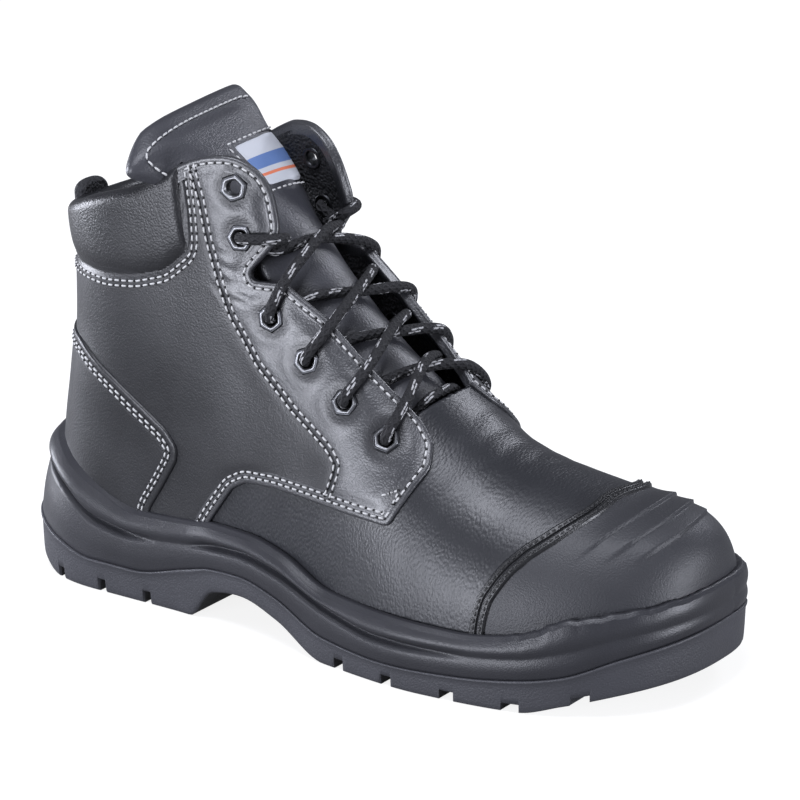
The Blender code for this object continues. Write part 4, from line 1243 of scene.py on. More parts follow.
vamp_u = np.linspace(*VAMP_SPAN, VAMP_COLUMNS)
vamp_top = running_mean(reach_up(vamp_u, VAMP_REGION), 2)
vamp_b = np.linspace(0, 1, VAMP_ROWS)[:, None]
vamp = upper_point(np.repeat(vamp_u[None], VAMP_ROWS, 0), vamp_b * vamp_top[None])
vamp_out = grid_normals(vamp)
vamp_lift = vamp_relief(vamp[..., 0], vamp[..., 1])
vamp_lift *= ease(vamp_b / VAMP_CALM_LOW) * (1 - ramp(vamp_b, *VAMP_CALM_TOP))
lip = unit(vamp[-1] - vamp[-3])
vamp_rows = list(vamp + vamp_out * vamp_lift[..., None])
vamp_rows += [vamp[-1] + lip * ahead - vamp_out[-1] * down for ahead, down in VAMP_FOLD]
vamp_lining = vamp - vamp_out * WALL
vamp_piece = piece("vamp", [(np.stack(vamp_rows), quads(len(vamp_rows), VAMP_COLUMNS)),
                            (vamp_lining, quads(VAMP_ROWS, VAMP_COLUMNS, flip=True), 1)],
                   [VAMP_LEATHER, LINING])
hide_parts("upper")

# Toe cap: ridges (tip, how they sweep back, half width), their rise and length, and the sewn band's profile
CAP_RIDGES = ((279.8, 0.0106, 38.0), (288.0, 0.0119, 33.0), (294.4, 0.0129, 27.0))
CAP_ROWS, CAP_COLUMNS = 190, 280
CAP_MIDDLE_Y = 8.0
CAP_LIFT = 1.0
RIDGE_RISE, RIDGE_RUN, RIDGE_POWER, RIDGE_END = 1.3, 8.0, 1.7, 0.6
RIDGE_LOW_Z = 50
RIDGE_FULL, RIDGE_FADE = 0.6, 0.4
CAP_PROFILE = (
    (-0.3, -0.5), (-0.2, 0.5), (0.05, 1.4), (0.5, 1.95), (1.1, 2.05), (1.7, 1.7), (2.2, 2.0), (2.7, 1.7),
    (3.0, 0.6), (3.3, 1.5), (3.7, 2.25), (4.3, 2.4), (4.8, 2.05), (5.3, 2.35), (5.8, 2.1), (6.2, 1.4),
    (6.5, 0.8), (6.9, 0.9),
)
CAP_SEW = ((1.7, 1.8), (4.8, 2.15))
CAP_SEW_SIZES = {"pitch": 2.6, "length": 2.0}
SEAM_STEP = 0.55
# The seam's running mean reaches over one part of its length in so many, and later over so many points
SEAM_PARTS, SEAM_BLUR = 28, 5
# Search for the seam: columns and rows tried on each side, and rows tried along the ridge
SEAM_SIDES = ((0.2, 0.5), (0.8, 0.5))
SEAM_COLUMNS, SEAM_ROWS, SEAM_TOP = 220, 320, 0.85
CROWN_SPAN, CROWN_COUNT = (0.1, 0.9), 2000


def seam_path(count):
    """The cap seam as (u, v): ring places nearest the marks of both sides, joined by a smooth curve."""
    marks = np.array(CAP_MARKS)
    found = []
    for ends in SEAM_SIDES:
        columns, rows = np.linspace(*ends, SEAM_COLUMNS), np.linspace(0, SEAM_TOP, SEAM_ROWS)
        u, v = np.meshgrid(columns, rows, indexing="ij")
        place = nearest(marks, upper_point(u, v)[..., [0, 2]].reshape(-1, 2))[1]
        found.append(np.stack([u.ravel()[place], v.ravel()[place]], -1))
    ridge_v = np.linspace(*CROWN_SPAN, CROWN_COUNT)
    ridge_x = upper_point(np.full(CROWN_COUNT, 0.5), ridge_v)[:, 0]
    crown = [[0.5, ridge_v[np.abs(ridge_x - CAP_CREST_X).argmin()]]]
    knots = np.concatenate([found[0], crown, found[1][::-1]])
    points = upper_point(knots[:, 0], knots[:, 1])
    run = length_along(points)
    at = np.linspace(0, run[-1], count)
    return smoothed(np.stack([smooth(run, knots[:, k], at) for k in range(2)], -1), count // SEAM_PARTS)


cap_seam = seam_path(CAP_COLUMNS)
cap_b = np.linspace(0, 1, CAP_ROWS)[:, None]
cap_foot = np.linspace(cap_seam[0, 0], cap_seam[-1, 0], CAP_COLUMNS)
cap = upper_point(cap_foot + (cap_seam[:, 0] - cap_foot) * cap_b, cap_seam[:, 1] * cap_b)
cap_out = grid_normals(cap)
cap_lift = np.full(cap.shape[:2], CAP_LIFT)
for tip, sweep, reach in CAP_RIDGES:
    off = cap[..., 1] - CAP_MIDDLE_Y
    far = cap[..., 0] - (tip - sweep * off ** 2)
    fade = 1 - ramp(np.abs(off), reach * RIDGE_FULL, reach * RIDGE_FADE)
    climb = np.clip((far + RIDGE_RUN) / RIDGE_RUN, 0, 1) ** RIDGE_POWER
    scale = np.where(far < 0, climb, 1 - ease(far / RIDGE_END))
    cap_lift += RIDGE_RISE * fade * scale * (cap[..., 2] > RIDGE_LOW_Z)
seam_line = resample(smoothed(upper_point(*cap_seam.T), SEAM_BLUR), SEAM_STEP)
share = np.linspace(0, 1, len(seam_line))
seam_out = unit(read_line(share, np.linspace(0, 1, CAP_COLUMNS), smoothed(cap_out[-2], SEAM_BLUR)))
seam_way = unit(np.gradient(seam_line, axis=0))
seam_side = unit(np.cross(seam_way, seam_out))


def seam_row(distance, lift):
    """The seam line moved toward the toe over the outer face and raised."""
    return seated(seam_line + seam_side * distance, seam_out) + seam_out * lift


cap_band = np.stack([seam_row(*row) for row in CAP_PROFILE])
toe_cap = piece("toe_cap_leather", [(cap + cap_out * cap_lift[..., None], quads(CAP_ROWS, CAP_COLUMNS)),
                                    (cap_band, quads(*cap_band.shape[:2], flip=True), 1)],
                [CAP_LEATHER, BAND_LEATHER])
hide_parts("toe_cap")
for distance, lift in CAP_SEW:
    BLACK_ROWS.append(thread_row(seam_row(distance, lift), seam_out, **CAP_SEW_SIZES))


# Sole
NARROW = 12
FILL_ROWS = 10
TREAD_FILL_ROWS = 14


def sole_ring(stations, inset):
    """Plan outline of the sole at stations, drawn in by an inset: lateral side forward, medial side back."""
    x = np.concatenate([stations, stations[-2:0:-1]])
    side = np.concatenate([np.full(len(stations), LATERAL), np.full(len(stations) - 2, MEDIAL)])
    wide = np.where(side < 0, sole("lateral", x), sole("medial", x))
    wide = wide * rounded((x - SOLE_TOE_START) / (SOLE_LENGTH - SOLE_TOE_START), SOLE_TOE_POWER)
    wide = wide * rounded((HEEL_LENGTH - x) / HEEL_LENGTH, HEEL_POWER)
    shrink = np.broadcast_to(inset, x.shape)
    drawn_x = CENTRE_X + (x - CENTRE_X) * (1 - shrink / CENTRE_X)
    drawn_y = sole("axis", x) + side * np.maximum(wide - shrink * np.minimum(wide / NARROW, 1), 0)
    return x, drawn_x, drawn_y


def ladder(ring, count, flip=False):
    """Flat fill between the two sides of a ring, straight across at each station, with its faces."""
    half = len(ring) // 2
    near_side = ring[:half + 1]
    far_side = np.concatenate([ring[:1], ring[:half - 1:-1]])
    share = np.linspace(0, 1, count)[:, None, None]
    return near_side[None] * (1 - share) + far_side[None] * share, quads(count, half + 1, flip=flip)


ROUND = (1 - np.cos(np.linspace(0, math.pi, 241))) / 2 * SOLE_LENGTH
# Ragged top of the toe bumper: its height, where it begins, and its waves as (pace, shift)
FLASH_HEIGHT, FLASH_FROM = 0.24, (246.0, 12.0)
FLASH_WAVES = ((0.9, 0.0), (0.37, 1.0), (2.1, 0.4), (3.7, 0.0))
FLASH_BEAT = 0.9
MIDSOLE_ROWS = 60
# Its wall: groove, swell of the bead, shares of the rim's inset below and over the lip, foot and hollow
GROOVE_DEPTH, GROOVE_HALF = 2.8, 1.5
BEAD_LEAST, BEAD_MORE = 0.4, 1.0
RIM_SHARE = 0.55
LIP_SHARE, LIP_STEP = 0.45, (0.5, 1.2)
FOOT_GAP, LIP_HEIGHT = 0.15, 1.6
FOOT_IN, FOOT_FADE, WALL_HOLLOW = 0.7, 0.5, 0.35
# Mould line on the toe bumper: place across, where it begins along the foot, depth and half width
MOULD_Y, MOULD_X, MOULD_DEPTH, MOULD_HALF = 22.0, 280, 0.45, 1.1
# Over the rim: further inset and drop from its top, then the inside down to the floor
MIDSOLE_LIP = ((0.6, 1.0), (0.75, 0.5), (0.95, 0.15), (1.25, 0.0), (1.7, 0.1), (4.0, 1.2), (9.0, 4.5))
MIDSOLE_INSIDE, MIDSOLE_DEPTH = 12.0, 8


def midsole_rings():
    """Rings of the cup from the parting line up: outlines drawn in by groove, bead and rim, then the lip.

    At the toe the top is ragged by two slow waves along the foot and the product of two fast ones.
    """
    plan_x, _, plan_y = sole_ring(ROUND, 0.0)
    low_z, mark_z, high_z = (height(name, plan_x) for name in ("parting", "groove", "rim"))
    slow, slower, fast, faster = (np.sin(plan_x * pace + shift) for pace, shift in FLASH_WAVES)
    flash = slow + slower + FLASH_BEAT * fast * faster
    high_z = high_z + FLASH_HEIGHT * flash * ramp(plan_x, *FLASH_FROM)
    shows = np.interp(plan_x, GROOVE_SHOWS[:, 0], GROOVE_SHOWS[:, 1])
    rim_in = sole("rim_inset", plan_x)
    lean = sole("lean", plan_x)
    rows = []
    for r in np.linspace(0, 1, MIDSOLE_ROWS):
        z = low_z + FOOT_GAP + (high_z - LIP_HEIGHT - low_z) * r
        above = ease((z - mark_z) / np.maximum(high_z - mark_z, 1))
        bead = np.clip((z - mark_z) / (high_z - mark_z), 0, 1)
        inset = FOOT_IN * np.exp(-(z - low_z) / FOOT_FADE)
        inset = inset + shows * GROOVE_DEPTH * bell(z - mark_z, GROOVE_HALF)
        swell = (BEAD_LEAST + BEAD_MORE * shows) * np.sin(math.pi * bead)
        inset = inset + rim_in * RIM_SHARE * above ** 2 - swell
        inset = inset + MOULD_DEPTH * bell(plan_y - MOULD_Y, MOULD_HALF) * (plan_x > MOULD_X)
        climb = np.clip((z - low_z) / (mark_z - low_z), 0, 1)
        inset = inset + WALL_HOLLOW * np.cos(math.pi * climb) ** 2
        inset = inset + lean * (z - low_z)
        rows.append((inset, z))
    for extra, drop in MIDSOLE_LIP:
        inset = rim_in * RIM_SHARE + extra + rim_in * LIP_SHARE * ramp(extra, *LIP_STEP)
        inset = inset + lean * (high_z - low_z)
        rows.append((inset, high_z - drop))
    rows.append((MIDSOLE_INSIDE, np.minimum(height("floor", plan_x), high_z - MIDSOLE_DEPTH)))
    return np.stack([np.stack([*sole_ring(ROUND, inset)[1:], z], -1) for inset, z in rows])


cup = midsole_rings()
midsole = piece("midsole_foam", [(cup, quads(*cup.shape[:2], closed=True)), ladder(cup[-1], FILL_ROWS),
                                 ladder(cup[0], FILL_ROWS, flip=True)], [FOAM])
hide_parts("midsole")

# Outsole: side profile as (share of its height, inset), and half the length of a step beside a groove
OUTSOLE_PROFILE = (
    (0.0, 1.8), (0.02, 1.2), (0.08, 0.9), (0.2, 0.75), (0.45, 0.6), (0.7, 0.5), (0.86, 0.45), (0.9, 0.3),
    (0.94, 0.05), (0.985, 0.0), (1.0, 0.25), (1.0, 1.5), (1.0, 6.0),
)
STEP_HALF = 0.02


def outsole_rings():
    """Rings of the tread from the ground up; the ground, which bounds them, steps up in each cross groove."""
    marks = [x + k * (wide / 2) + e for x, wide, _ in LUG_GAPS for k in (-1, 1)
             for e in (-STEP_HALF, STEP_HALF)]
    stations = np.unique(np.concatenate([ROUND, np.array(marks)]))
    plan_x = sole_ring(stations, 0.0)[0]
    tread, parting = height("tread", plan_x), height("parting", plan_x)
    ground = tread
    for x, wide, deep in LUG_GAPS:
        ground = np.where(np.abs(plan_x - x) < wide / 2, tread + deep, ground)
    rows = []
    for share, inset in OUTSOLE_PROFILE:
        z = np.maximum(tread + share * (parting - tread), ground)
        rows.append(np.stack([*sole_ring(stations, inset)[1:], z], -1))
    return np.stack(rows)


tread_rings = outsole_rings()
outsole = piece("outsole_tread", [(tread_rings, quads(*tread_rings.shape[:2], closed=True)),
                                  ladder(tread_rings[0], TREAD_FILL_ROWS, flip=True),
                                  ladder(tread_rings[-1], FILL_ROWS)], [RUBBER])
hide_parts("outsole")

# Insole: a cupped bed inside the wall
BED_ROWS, BED_COLUMNS = 120, 40
BED_SPAN = (18, 296)
BED_LIFT, BED_CUP, BED_CUP_POWER, BED_THICK = 4.0, 3.0, 6, 3.5
BED_GAP, BED_GAP_Z, BED_LEAST = 4.2, 6, 0.5
bed_x = np.linspace(*BED_SPAN, BED_ROWS)[:, None]
bed_c = np.linspace(-1, 1, BED_COLUMNS)[None]
bed_z = height("floor", bed_x) + BED_LIFT
left, right = (half_width(bed_x, bed_z + BED_GAP_Z, np.full_like(bed_x, side)) - BED_GAP
               for side in (LATERAL, MEDIAL))
bed_y = last("axis", bed_x) + bed_c * np.maximum(np.where(bed_c < 0, left, right), BED_LEAST)
bed = np.stack(np.broadcast_arrays(bed_x, bed_y, bed_z + BED_CUP * np.abs(bed_c) ** BED_CUP_POWER), -1)
bed_faces = quads(BED_ROWS, BED_COLUMNS)
bed_under = bed - (0, 0, BED_THICK)
insole = piece("insole_bed", [(bed, bed_faces), (bed_under, bed_faces[:, ::-1])], [INSOLE_CLOTH])
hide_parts("insole")

# Eyelets
RIM_PROFILE = (
    (5.3, 1.35, 1), (5.35, 1.75, 1), (5.15, 2.15, 1), (4.75, 2.3, 1), (4.45, 2.3, 1), (4.3, 2.5, 1),
    (3.95, 2.62, 0.9), (3.5, 2.5, 0.7), (3.15, 2.1, 0.5), (2.85, 1.4, 0.2), (2.7, 0.4, 0), (2.7, -2.0, 0),
    (2.9, -2.9, 0), (3.5, -3.3, 0), (4.3, -3.2, 0), (4.6, -2.8, 0), (4.6, -2.3, 0),
)
# Profile rows on the rolled inner slope that take the paler metal: painted highlight
RIM_HIGHLIGHT_ROWS = slice(4, 9)
RIM_COUNT = 48
SIX_SHARE = 0.9
EYELET_SPIN = (0.2, 0.35)
FLAP_STEP = 2.0


def flap_frame(place, side):
    """Point, outward normal and two directions in the face at a side-view place."""
    x, z = np.array([place[0]]), np.array([place[1]])
    s = side_s(x, z, side)
    here, out, along, _ = (a[0] for a in frame_at(s, z, FLAP_STEP))
    way = unit(along) * -side
    return here, out, way, unit(np.cross(out, way))


def eyelet_mesh(place, side, spin):
    """Profile of (radius, height, how six-sided) turned round the hole; the rolled inner rows take the paler
    metal as painted highlight.
    """
    here, out, way, up = flap_frame(place, side)
    turn = np.linspace(0, 2 * math.pi, RIM_COUNT, endpoint=False)
    half = math.pi / 6
    corner = 1 / np.cos((turn + half) % (2 * half) - half) * math.cos(half)
    ring = np.cos(turn + spin)[:, None] * way + np.sin(turn + spin)[:, None] * up
    rows = []
    for radius, lift, six in RIM_PROFILE:
        reach = radius * (1 + six * SIX_SHARE * (corner - corner.mean()))
        rows.append(here + out * lift + ring * reach[:, None])
    count = len(RIM_PROFILE)
    faces = quads(count, RIM_COUNT, closed=True, flip=side > 0).reshape(count - 1, RIM_COUNT, 4)
    pale = np.zeros(count - 1, bool)
    pale[RIM_HIGHLIGHT_ROWS] = True
    points = np.concatenate(rows)
    return [(points, faces[~pale].reshape(-1, 4)), (points, faces[pale].reshape(-1, 4), 1)]


eyelet_parts = []
for side in (LATERAL, MEDIAL):
    for number, place in enumerate(EYELETS):
        eyelet_parts += eyelet_mesh(place, side, EYELET_SPIN[0] + EYELET_SPIN[1] * number)
eyelets = piece("eyelets", eyelet_parts, [METAL, RIM_HIGHLIGHT_METAL])
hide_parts(*[f"eyelet_{label}_{n}" for label in ("lateral", "medial") for n in range(1, 7)])

# Tongue
TONGUE_RUN = np.concatenate([[0.0], np.cumsum(np.hypot(np.diff(TONGUE[:, 0]), np.diff(TONGUE[:, 1])))])
TONGUE_LENGTH = TONGUE_RUN[-1]
TONGUE_RUN = TONGUE_RUN / TONGUE_LENGTH
# Fades down the tongue of its wing and its lean, swell of its face inside the border, rounding of its edges
WING_FADE, WING_SPREAD, LEAN_FADE = (0.06, 0.24), (0.062, 0.04), 0.3
TONGUE_SWELL, SWELL_ACROSS, SWELL_DOWN = 0.7, (0.8, 0.3), (8, 6)
TONGUE_EDGE_POWER, TONGUE_TOP, TONGUE_TOP_POWER = 5.0, 4.0, 2.2
TONGUE_BUNCH = 0.75
TONGUE_STEP, TONGUE_ROW_STEP = 0.01, 0.004
TONGUE_STITCH_COUNT, TONGUE_STITCH_BLUR = 160, 9
TONGUE_SEW_LIFT, LABEL_SEW_LIFT = 0.4, 0.5


def tongue(name, s):
    """A named column of the tongue's table by share of its length."""
    return smooth(TONGUE_RUN, TONGUE[:, TONGUE_COLUMNS.index(name)], s)


def tongue_point(s, across, depth):
    """Point of the tongue: s down its length, across from -1 lateral to 1 medial, depth under its face."""
    run_x, run_z = (tongue(name, s + TONGUE_STEP) - tongue(name, s - TONGUE_STEP) for name in ("x", "z"))
    length = np.hypot(run_x, run_z)
    out_x, out_z = -run_z / length, run_x / length
    fall = tongue("sag", s) * np.abs(across) ** TONGUE_FALL + depth
    wing = np.maximum(-across, 0) ** 4
    fall = fall + TONGUE_WING[0] * wing * (1 - ramp(s, *WING_FADE))
    spread = TONGUE_WING[1] * (across < 0) * bell(s - WING_SPREAD[0], WING_SPREAD[1])
    reach = tongue("half", s) * (1 + spread)
    y = last("axis", tongue("x", s)) + across * reach
    rise = (TONGUE_LEAN[0] + TONGUE_LEAN[1] * across) * (1 - ease(s / LEAN_FADE))
    x = tongue("x", s) - out_x * fall - out_z * rise
    return np.stack([x, y, tongue("z", s) - out_z * fall + out_x * rise], -1)


def tongue_edge(s, side):
    """Half width share left by the rounded top corners."""
    corner = np.where(side < 0, *TONGUE_CORNERS)
    down = np.clip(s * TONGUE_LENGTH, 0, corner)
    cut = corner - np.sqrt(np.maximum(corner ** 2 - (corner - down) ** 2, 0))
    return 1 - cut / tongue("half", s)


def tongue_grid(rows, columns):
    """Front face swelling between the stitched border rows and back face, meeting in a rounded edge."""
    closer_at_ends = (1 - np.cos(np.linspace(0, math.pi, rows))) / 2
    s = np.repeat((closer_at_ends * 0.5 + np.linspace(0, 1, rows) * 0.5)[:, None], columns, 1)
    turn = np.linspace(0, 2 * math.pi, columns, endpoint=False)[None]
    a = np.sign(np.cos(turn)) * np.abs(np.cos(turn)) ** TONGUE_BUNCH
    half_thick = tongue("thick", s) * 0.5
    edge = rounded(np.abs(a), TONGUE_EDGE_POWER)
    top = rounded(np.clip(1 - s * TONGUE_LENGTH / TONGUE_TOP, 0, 1), TONGUE_TOP_POWER)
    face = np.where(np.sin(turn) >= 0, -1.0, 1.0)
    depth = half_thick + face * half_thick * edge * top
    inward = ease((SWELL_ACROSS[0] - np.abs(a)) / SWELL_ACROSS[1])
    swell = TONGUE_SWELL * inward * ramp(s * TONGUE_LENGTH, *SWELL_DOWN) * (face < 0)
    return tongue_point(s, a * tongue_edge(s, a), depth - swell)


TONGUE_ROWS, TONGUE_ROUND = 150, 96
tongue_mesh = tongue_grid(TONGUE_ROWS, TONGUE_ROUND)
tongue_faces = quads(TONGUE_ROWS, TONGUE_ROUND, closed=True, flip=True)
tongue_piece = piece("tongue_padding", [(tongue_mesh, tongue_faces)], [TONGUE_HIGHLIGHT_LEATHER])
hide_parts("tongue")


def tongue_row(s, across, lift):
    """A row of stitches on the tongue's face."""
    depth = np.full_like(s, -lift)
    points = tongue_point(s, across, depth)
    down = tongue_point(s + TONGUE_ROW_STEP, across, depth) - points
    over = tongue_point(s, across + TONGUE_ROW_STEP, depth) - points
    normals = unit(np.cross(down, over))
    normals *= np.sign(normals[:, 2:3])
    WHITE_ROWS.append(thread_row(points, normals))


stitch_run = np.linspace(0, len(TONGUE_STITCH) - 1, TONGUE_STITCH_COUNT)
stitch_line = read_line(stitch_run, np.arange(len(TONGUE_STITCH)), TONGUE_STITCH)
tongue_row(*smoothed(stitch_line, TONGUE_STITCH_BLUR).T, TONGUE_SEW_LIFT)

# Label patch and its stitches
LABEL_COUNT = 30
LABEL_STITCHES = 40
LABEL_LIFT, LABEL_DROP, LABEL_DROP_POWER = 1.0, 0.9, 24
LABEL_CORNERS, LABEL_CORNER_POWER = (0.07, 0.06), 10
LABEL_MARGIN, LABEL_SIDE_MARGIN = (0.008, 0.01), (0.06, 0.07)
label_line = np.linspace(-1, 1, LABEL_COUNT)
label_p, label_q = np.meshgrid(label_line, label_line, indexing="ij")
edge_drop = LABEL_DROP * np.maximum(np.abs(label_p), np.abs(label_q)) ** LABEL_DROP_POWER
draw_p, draw_q = (1 - share * line ** LABEL_CORNER_POWER
                  for share, line in zip(LABEL_CORNERS, (label_q, label_p)))
label_s = np.mean(LABEL_SPAN) + label_p * draw_p * np.ptp(LABEL_SPAN) / 2
label_a = np.mean(LABEL_SIDE) + label_q * draw_q * np.ptp(LABEL_SIDE) / 2
label_grid = tongue_point(label_s, label_a, edge_drop - LABEL_LIFT)
uv_line = np.linspace(0, 1, LABEL_COUNT)
uv = np.stack(np.meshgrid(uv_line, uv_line, indexing="ij"), -1).reshape(-1, 2)
label = piece("label_patch", [(label_grid, quads(LABEL_COUNT, LABEL_COUNT))], [LABEL], uv=uv)
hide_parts("tongue_label")
label_across = np.linspace(LABEL_SIDE[0] - LABEL_SIDE_MARGIN[0], LABEL_SIDE[1], LABEL_STITCHES)
for s in (LABEL_SPAN[0] - LABEL_MARGIN[0], LABEL_SPAN[1] + LABEL_MARGIN[1]):
    tongue_row(np.full(LABEL_STITCHES, s), label_across, LABEL_SEW_LIFT)
label_front = np.full(LABEL_STITCHES, LABEL_SIDE[0] - LABEL_SIDE_MARGIN[1])
tongue_row(np.linspace(*LABEL_SPAN, LABEL_STITCHES), label_front, LABEL_SEW_LIFT)


# Lace: step and sides of the cord, length of one turn of its braid, its closed ends and how it is laid
LACE_STEP = 0.8
LACE_SIDES = 14
BRAID_PITCH = 3.4
CORD_END = 0.05
CORD_ASIDE = (0.9, 0.1, 0.42)
FLOW_COUNT = 6000
# Its way: over the tongue at the bar and the crossings, through each eyelet, over and under the throat edge
BAR_LIFT, BAR_HALF = 0.3, 8.0
CROSS_LIFT, CROSS_OVER = 0.2, {LATERAL: 4.3, MEDIAL: 0.2}
EYELET_UNDER, EYELET_OVER, EYELET_AHEAD = 1.8, 2.2, 1.0
EDGE_PRESS, EDGE_BEFORE, EDGE_UNDER = {LATERAL: 0.3, MEDIAL: 0.7}, 1.0, 0.2
EDGE_SHARES, EDGE_FRAME_STEP = (0.05, 0.6), 1.5
# Its tucked end: where it heads, how far past the edge, and the last point under the flap
END_AIM, END_PAST, END_UNDER, END_AHEAD, END_DOWN = (22.0, 5.0, 2.0), 2.0, 1.5, 4.0, 6.0


def station(x):
    """Share of the tongue's length at a place along the foot."""
    return float(np.interp(x, TONGUE[:, 0], TONGUE_RUN))


def on_tongue(s, y, lift):
    """A place on the tongue's face raised by a lift."""
    s = np.array([s])
    return tongue_point(s, y / tongue("half", s), np.array([-lift]))[0]


def edge_place(here, target, side):
    """The place on the throat edge nearest the straight way from an eyelet to its target."""
    edge = throat_edge(side)
    points = at_side(edge)
    way = target - here
    share = np.clip(((points - here) @ way) / (way @ way), *EDGE_SHARES)
    off = np.linalg.norm(points - here - share[:, None] * way, axis=1)
    k = int(off.argmin())
    _, out, _, _ = frame_at(edge[k:k + 1, 0], edge[k:k + 1, 1], EDGE_FRAME_STEP)
    return points[k], out[0]


def lace_half(first_side):
    """Control points from the bar's middle through the eyelets of alternate sides to the tucked end."""
    bar_lift = LACE_RADIUS + BAR_LIFT
    places = [on_tongue(station(LACE_BAR_X), first_side * y, bar_lift) for y in (0.0, BAR_HALF)]
    side = first_side
    for number in range(len(LACE_CROSSINGS) + 1):
        here, out, _, _ = flap_frame(EYELETS[number], side)
        crosses = number < len(LACE_CROSSINGS)
        if crosses:
            middle = sum(LACE_CROSSINGS[number]) / 2
            target = on_tongue(station(middle), 0.0, LACE_RADIUS + CROSS_LIFT + CROSS_OVER[side])
        else:
            target = here + (END_AIM[0], -side * END_AIM[1], END_AIM[2])
        way = unit(target - here)
        way = unit(way - out * (way @ out))
        places.append(here - out * (WALL + EYELET_UNDER))
        places.append(here + out * (PANEL + EYELET_OVER) + way * EYELET_AHEAD)
        edge, edge_out = edge_place(here, target, side)
        places.append(edge + edge_out * (PANEL + LACE_RADIUS - EDGE_PRESS[side]) - way * EDGE_BEFORE)
        if crosses:
            places.append(target)
            side = -side
            there = flap_frame(EYELETS[number + 1], side)[0]
            edge, edge_out = edge_place(there, target, side)
            places.append(edge - edge_out * (WALL + LACE_RADIUS + EDGE_UNDER))
        else:
            places.append(edge - edge_out * (WALL + LACE_RADIUS) + way * END_PAST)
            last_place = here - out * (WALL + LACE_RADIUS + END_UNDER) + way * END_AHEAD
            places.append(last_place - np.array([0, 0, END_DOWN]))
    return np.array(places)


def flowing(points, step):
    """Curve through control points: cubic between knots spaced by the square root of their distance."""
    knots = np.concatenate([[0.0], np.cumsum(np.linalg.norm(np.diff(points, axis=0), axis=1) ** 0.5)])
    slope = np.gradient(points, knots, axis=0)
    t = np.linspace(0, knots[-1], FLOW_COUNT)
    i = np.clip(np.searchsorted(knots, t, side="right") - 1, 0, len(knots) - 2)
    span = (knots[i + 1] - knots[i])[:, None]
    f = ((t - knots[i]) / span[:, 0])[:, None]
    line = ((1 + 2 * f) * (1 - f) ** 2 * points[i] + f * (1 - f) ** 2 * span * slope[i]
            + f * f * (3 - 2 * f) * points[i + 1] - f * f * (1 - f) * span * slope[i + 1])
    return resample(line, step)


def tube(line, radius, sides):
    """Round section carried along a line, its twist taken back out; length and turn are its UV."""
    way = unit(np.gradient(line, axis=0))
    across = unit(np.cross(way, CORD_ASIDE))
    other = np.cross(way, across)
    sine = (np.cross(across[:-1], across[1:]) * way[:-1]).sum(-1)
    twist = np.concatenate([[0.0], np.cumsum(np.arctan2(sine, (across[:-1] * across[1:]).sum(-1)))])
    turn = np.linspace(0, 2 * math.pi, sides + 1)
    angle = (turn[None] - twist[:, None])[..., None]
    size = np.full(len(line), radius)
    size[[0, -1]] = CORD_END
    ring = across[:, None] * np.cos(angle) + other[:, None] * np.sin(angle)
    points = line[:, None] + ring * size[:, None, None]
    uv = np.stack(np.meshgrid(length_along(line) / BRAID_PITCH, turn / (2 * math.pi), indexing="ij"), -1)
    return points, quads(len(line), sides + 1), uv.reshape(-1, 2)


left, right = lace_half(LATERAL), lace_half(MEDIAL)
lace_line = flowing(np.concatenate([left[:0:-1], right]), LACE_STEP)
lace_points, lace_faces, lace_uv = tube(lace_line, LACE_RADIUS, LACE_SIDES)
lace = piece("lace", [(lace_points, lace_faces)], [CORD], uv=lace_uv)
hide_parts("lace_bar", "lace_crossing_1", "lace_crossing_2", "lace_crossing_3", "lace_crossing_4")
LACE_LENGTH = float(np.linalg.norm(np.diff(lace_line, axis=0), axis=1).sum())
print("lace length mm", round(LACE_LENGTH, 1))

white = piece("stitches_white", WHITE_ROWS, [THREAD])
# Real black thread of the cap seam together with the dark beads of painted needle-hole shade
black = piece("stitches_black_and_needle_shade", BLACK_ROWS + NEEDLE_SHADE_ROWS, [DARK_THREAD_AND_NEEDLE_SHADE])

# Floor, light and camera
FLOOR_HALF = 4
FLOOR_Z = -0.0002
FLOOR_CORNERS = ((-1, -1), (1, -1), (1, 1), (-1, 1))
FLOOR_LIGHT, FLOOR_SEEN = (0.085, 0.085, 0.085), (0.86, 0.86, 0.86)
STUDIO_COLOUR = (0.95, 0.975, 1.08)
STUDIO_STRENGTH = 0.2
floor_mesh = bpy.data.meshes.new("floor")
floor_points = [(x * FLOOR_HALF, y * FLOOR_HALF, FLOOR_Z) for x, y in FLOOR_CORNERS]
floor_mesh.from_pydata(floor_points, [], [(0, 1, 2, 3)])
floor = bpy.data.objects.new("floor", floor_mesh)
bpy.context.scene.collection.objects.link(floor)
floor_look, floor_tree, floor_shader = new_material("floor_white", (0.25, 0.25, 0.25), 0.9, specular=0.0)
seen = node(floor_tree, "ShaderNodeLightPath").outputs["Is Camera Ray"]
glow = blend_colour(floor_tree, seen, FLOOR_LIGHT, FLOOR_SEEN)
link(floor_tree, glow, floor_shader.inputs["Emission Color"])
floor_shader.inputs["Emission Strength"].default_value = 1.0
floor_mesh.materials.append(floor_look)

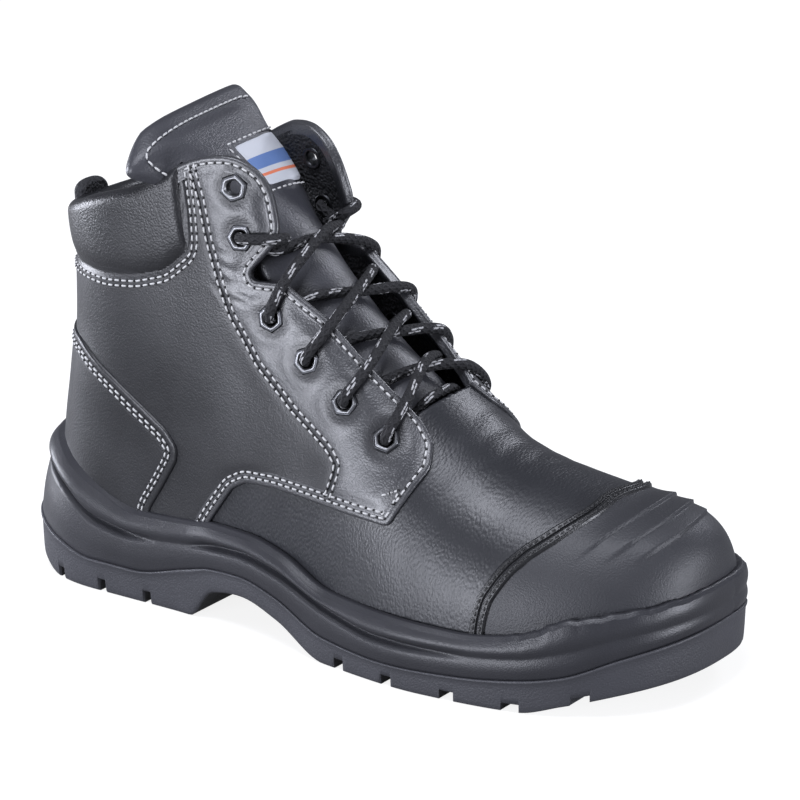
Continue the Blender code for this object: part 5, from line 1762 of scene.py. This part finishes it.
world = bpy.data.worlds.new("studio")
bpy.context.scene.world = world
world.use_nodes = True
world.node_tree.nodes["Background"].inputs["Color"].default_value = (*STUDIO_COLOUR, 1.0)
world.node_tree.nodes["Background"].inputs["Strength"].default_value = STUDIO_STRENGTH


def softbox(name, place, target, size, power):
    """A rectangular lamp at a place, turned to face a target."""
    lamp = bpy.data.lights.new(name, "AREA")
    lamp.shape = "RECTANGLE"
    lamp.size, lamp.size_y = size
    lamp.energy = power
    lamp.color = STUDIO_COLOUR
    made = bpy.data.objects.new(name, lamp)
    bpy.context.scene.collection.objects.link(made)
    made.location = place
    made.rotation_euler = (Vector(target) - Vector(place)).to_track_quat("-Z", "Y").to_euler()


softbox("side", (-0.26, -1.25, 0.17), (0.0, 0.0, 0.1), (0.75, 0.34), 15.0)
softbox("rim", (-1.0, -0.2, 0.1), (-0.05, 0.0, 0.08), (0.55, 0.3), 10.5)
softbox("top", (0.05, -0.45, 1.4), (0.0, -0.02, 0.05), (0.8, 0.55), 18.0)
softbox("front", (1.2, 0.12, 0.12), (0.1, 0.0, 0.04), (0.6, 0.3), 12.5)
softbox("behind", (0.32, 1.25, 0.95), (0.0, 0.0, 0.15), (0.6, 0.28), 7.5)

CAMERA_TURN = math.radians(34.5)
CAMERA_RISE = math.radians(19.0)
CAMERA_FAR = 1.68
CAMERA_AIM = Vector((0.0148, -0.00215, 0.0933))
CAMERA_LENS = 195.75
CAMERA_SENSOR = 36.0
camera_data = bpy.data.cameras.new("camera")
camera_data.lens = CAMERA_LENS
camera_data.sensor_width = CAMERA_SENSOR
camera = bpy.data.objects.new("camera", camera_data)
bpy.context.scene.collection.objects.link(camera)
level = math.cos(CAMERA_RISE)
outward = Vector((math.sin(CAMERA_TURN) * level, -math.cos(CAMERA_TURN) * level, math.sin(CAMERA_RISE)))
camera.location = CAMERA_AIM + outward * CAMERA_FAR
camera.rotation_euler = (-outward).to_track_quat("-Z", "Y").to_euler()
bpy.context.scene.camera = camera
bpy.context.scene.view_settings.view_transform = "Standard"
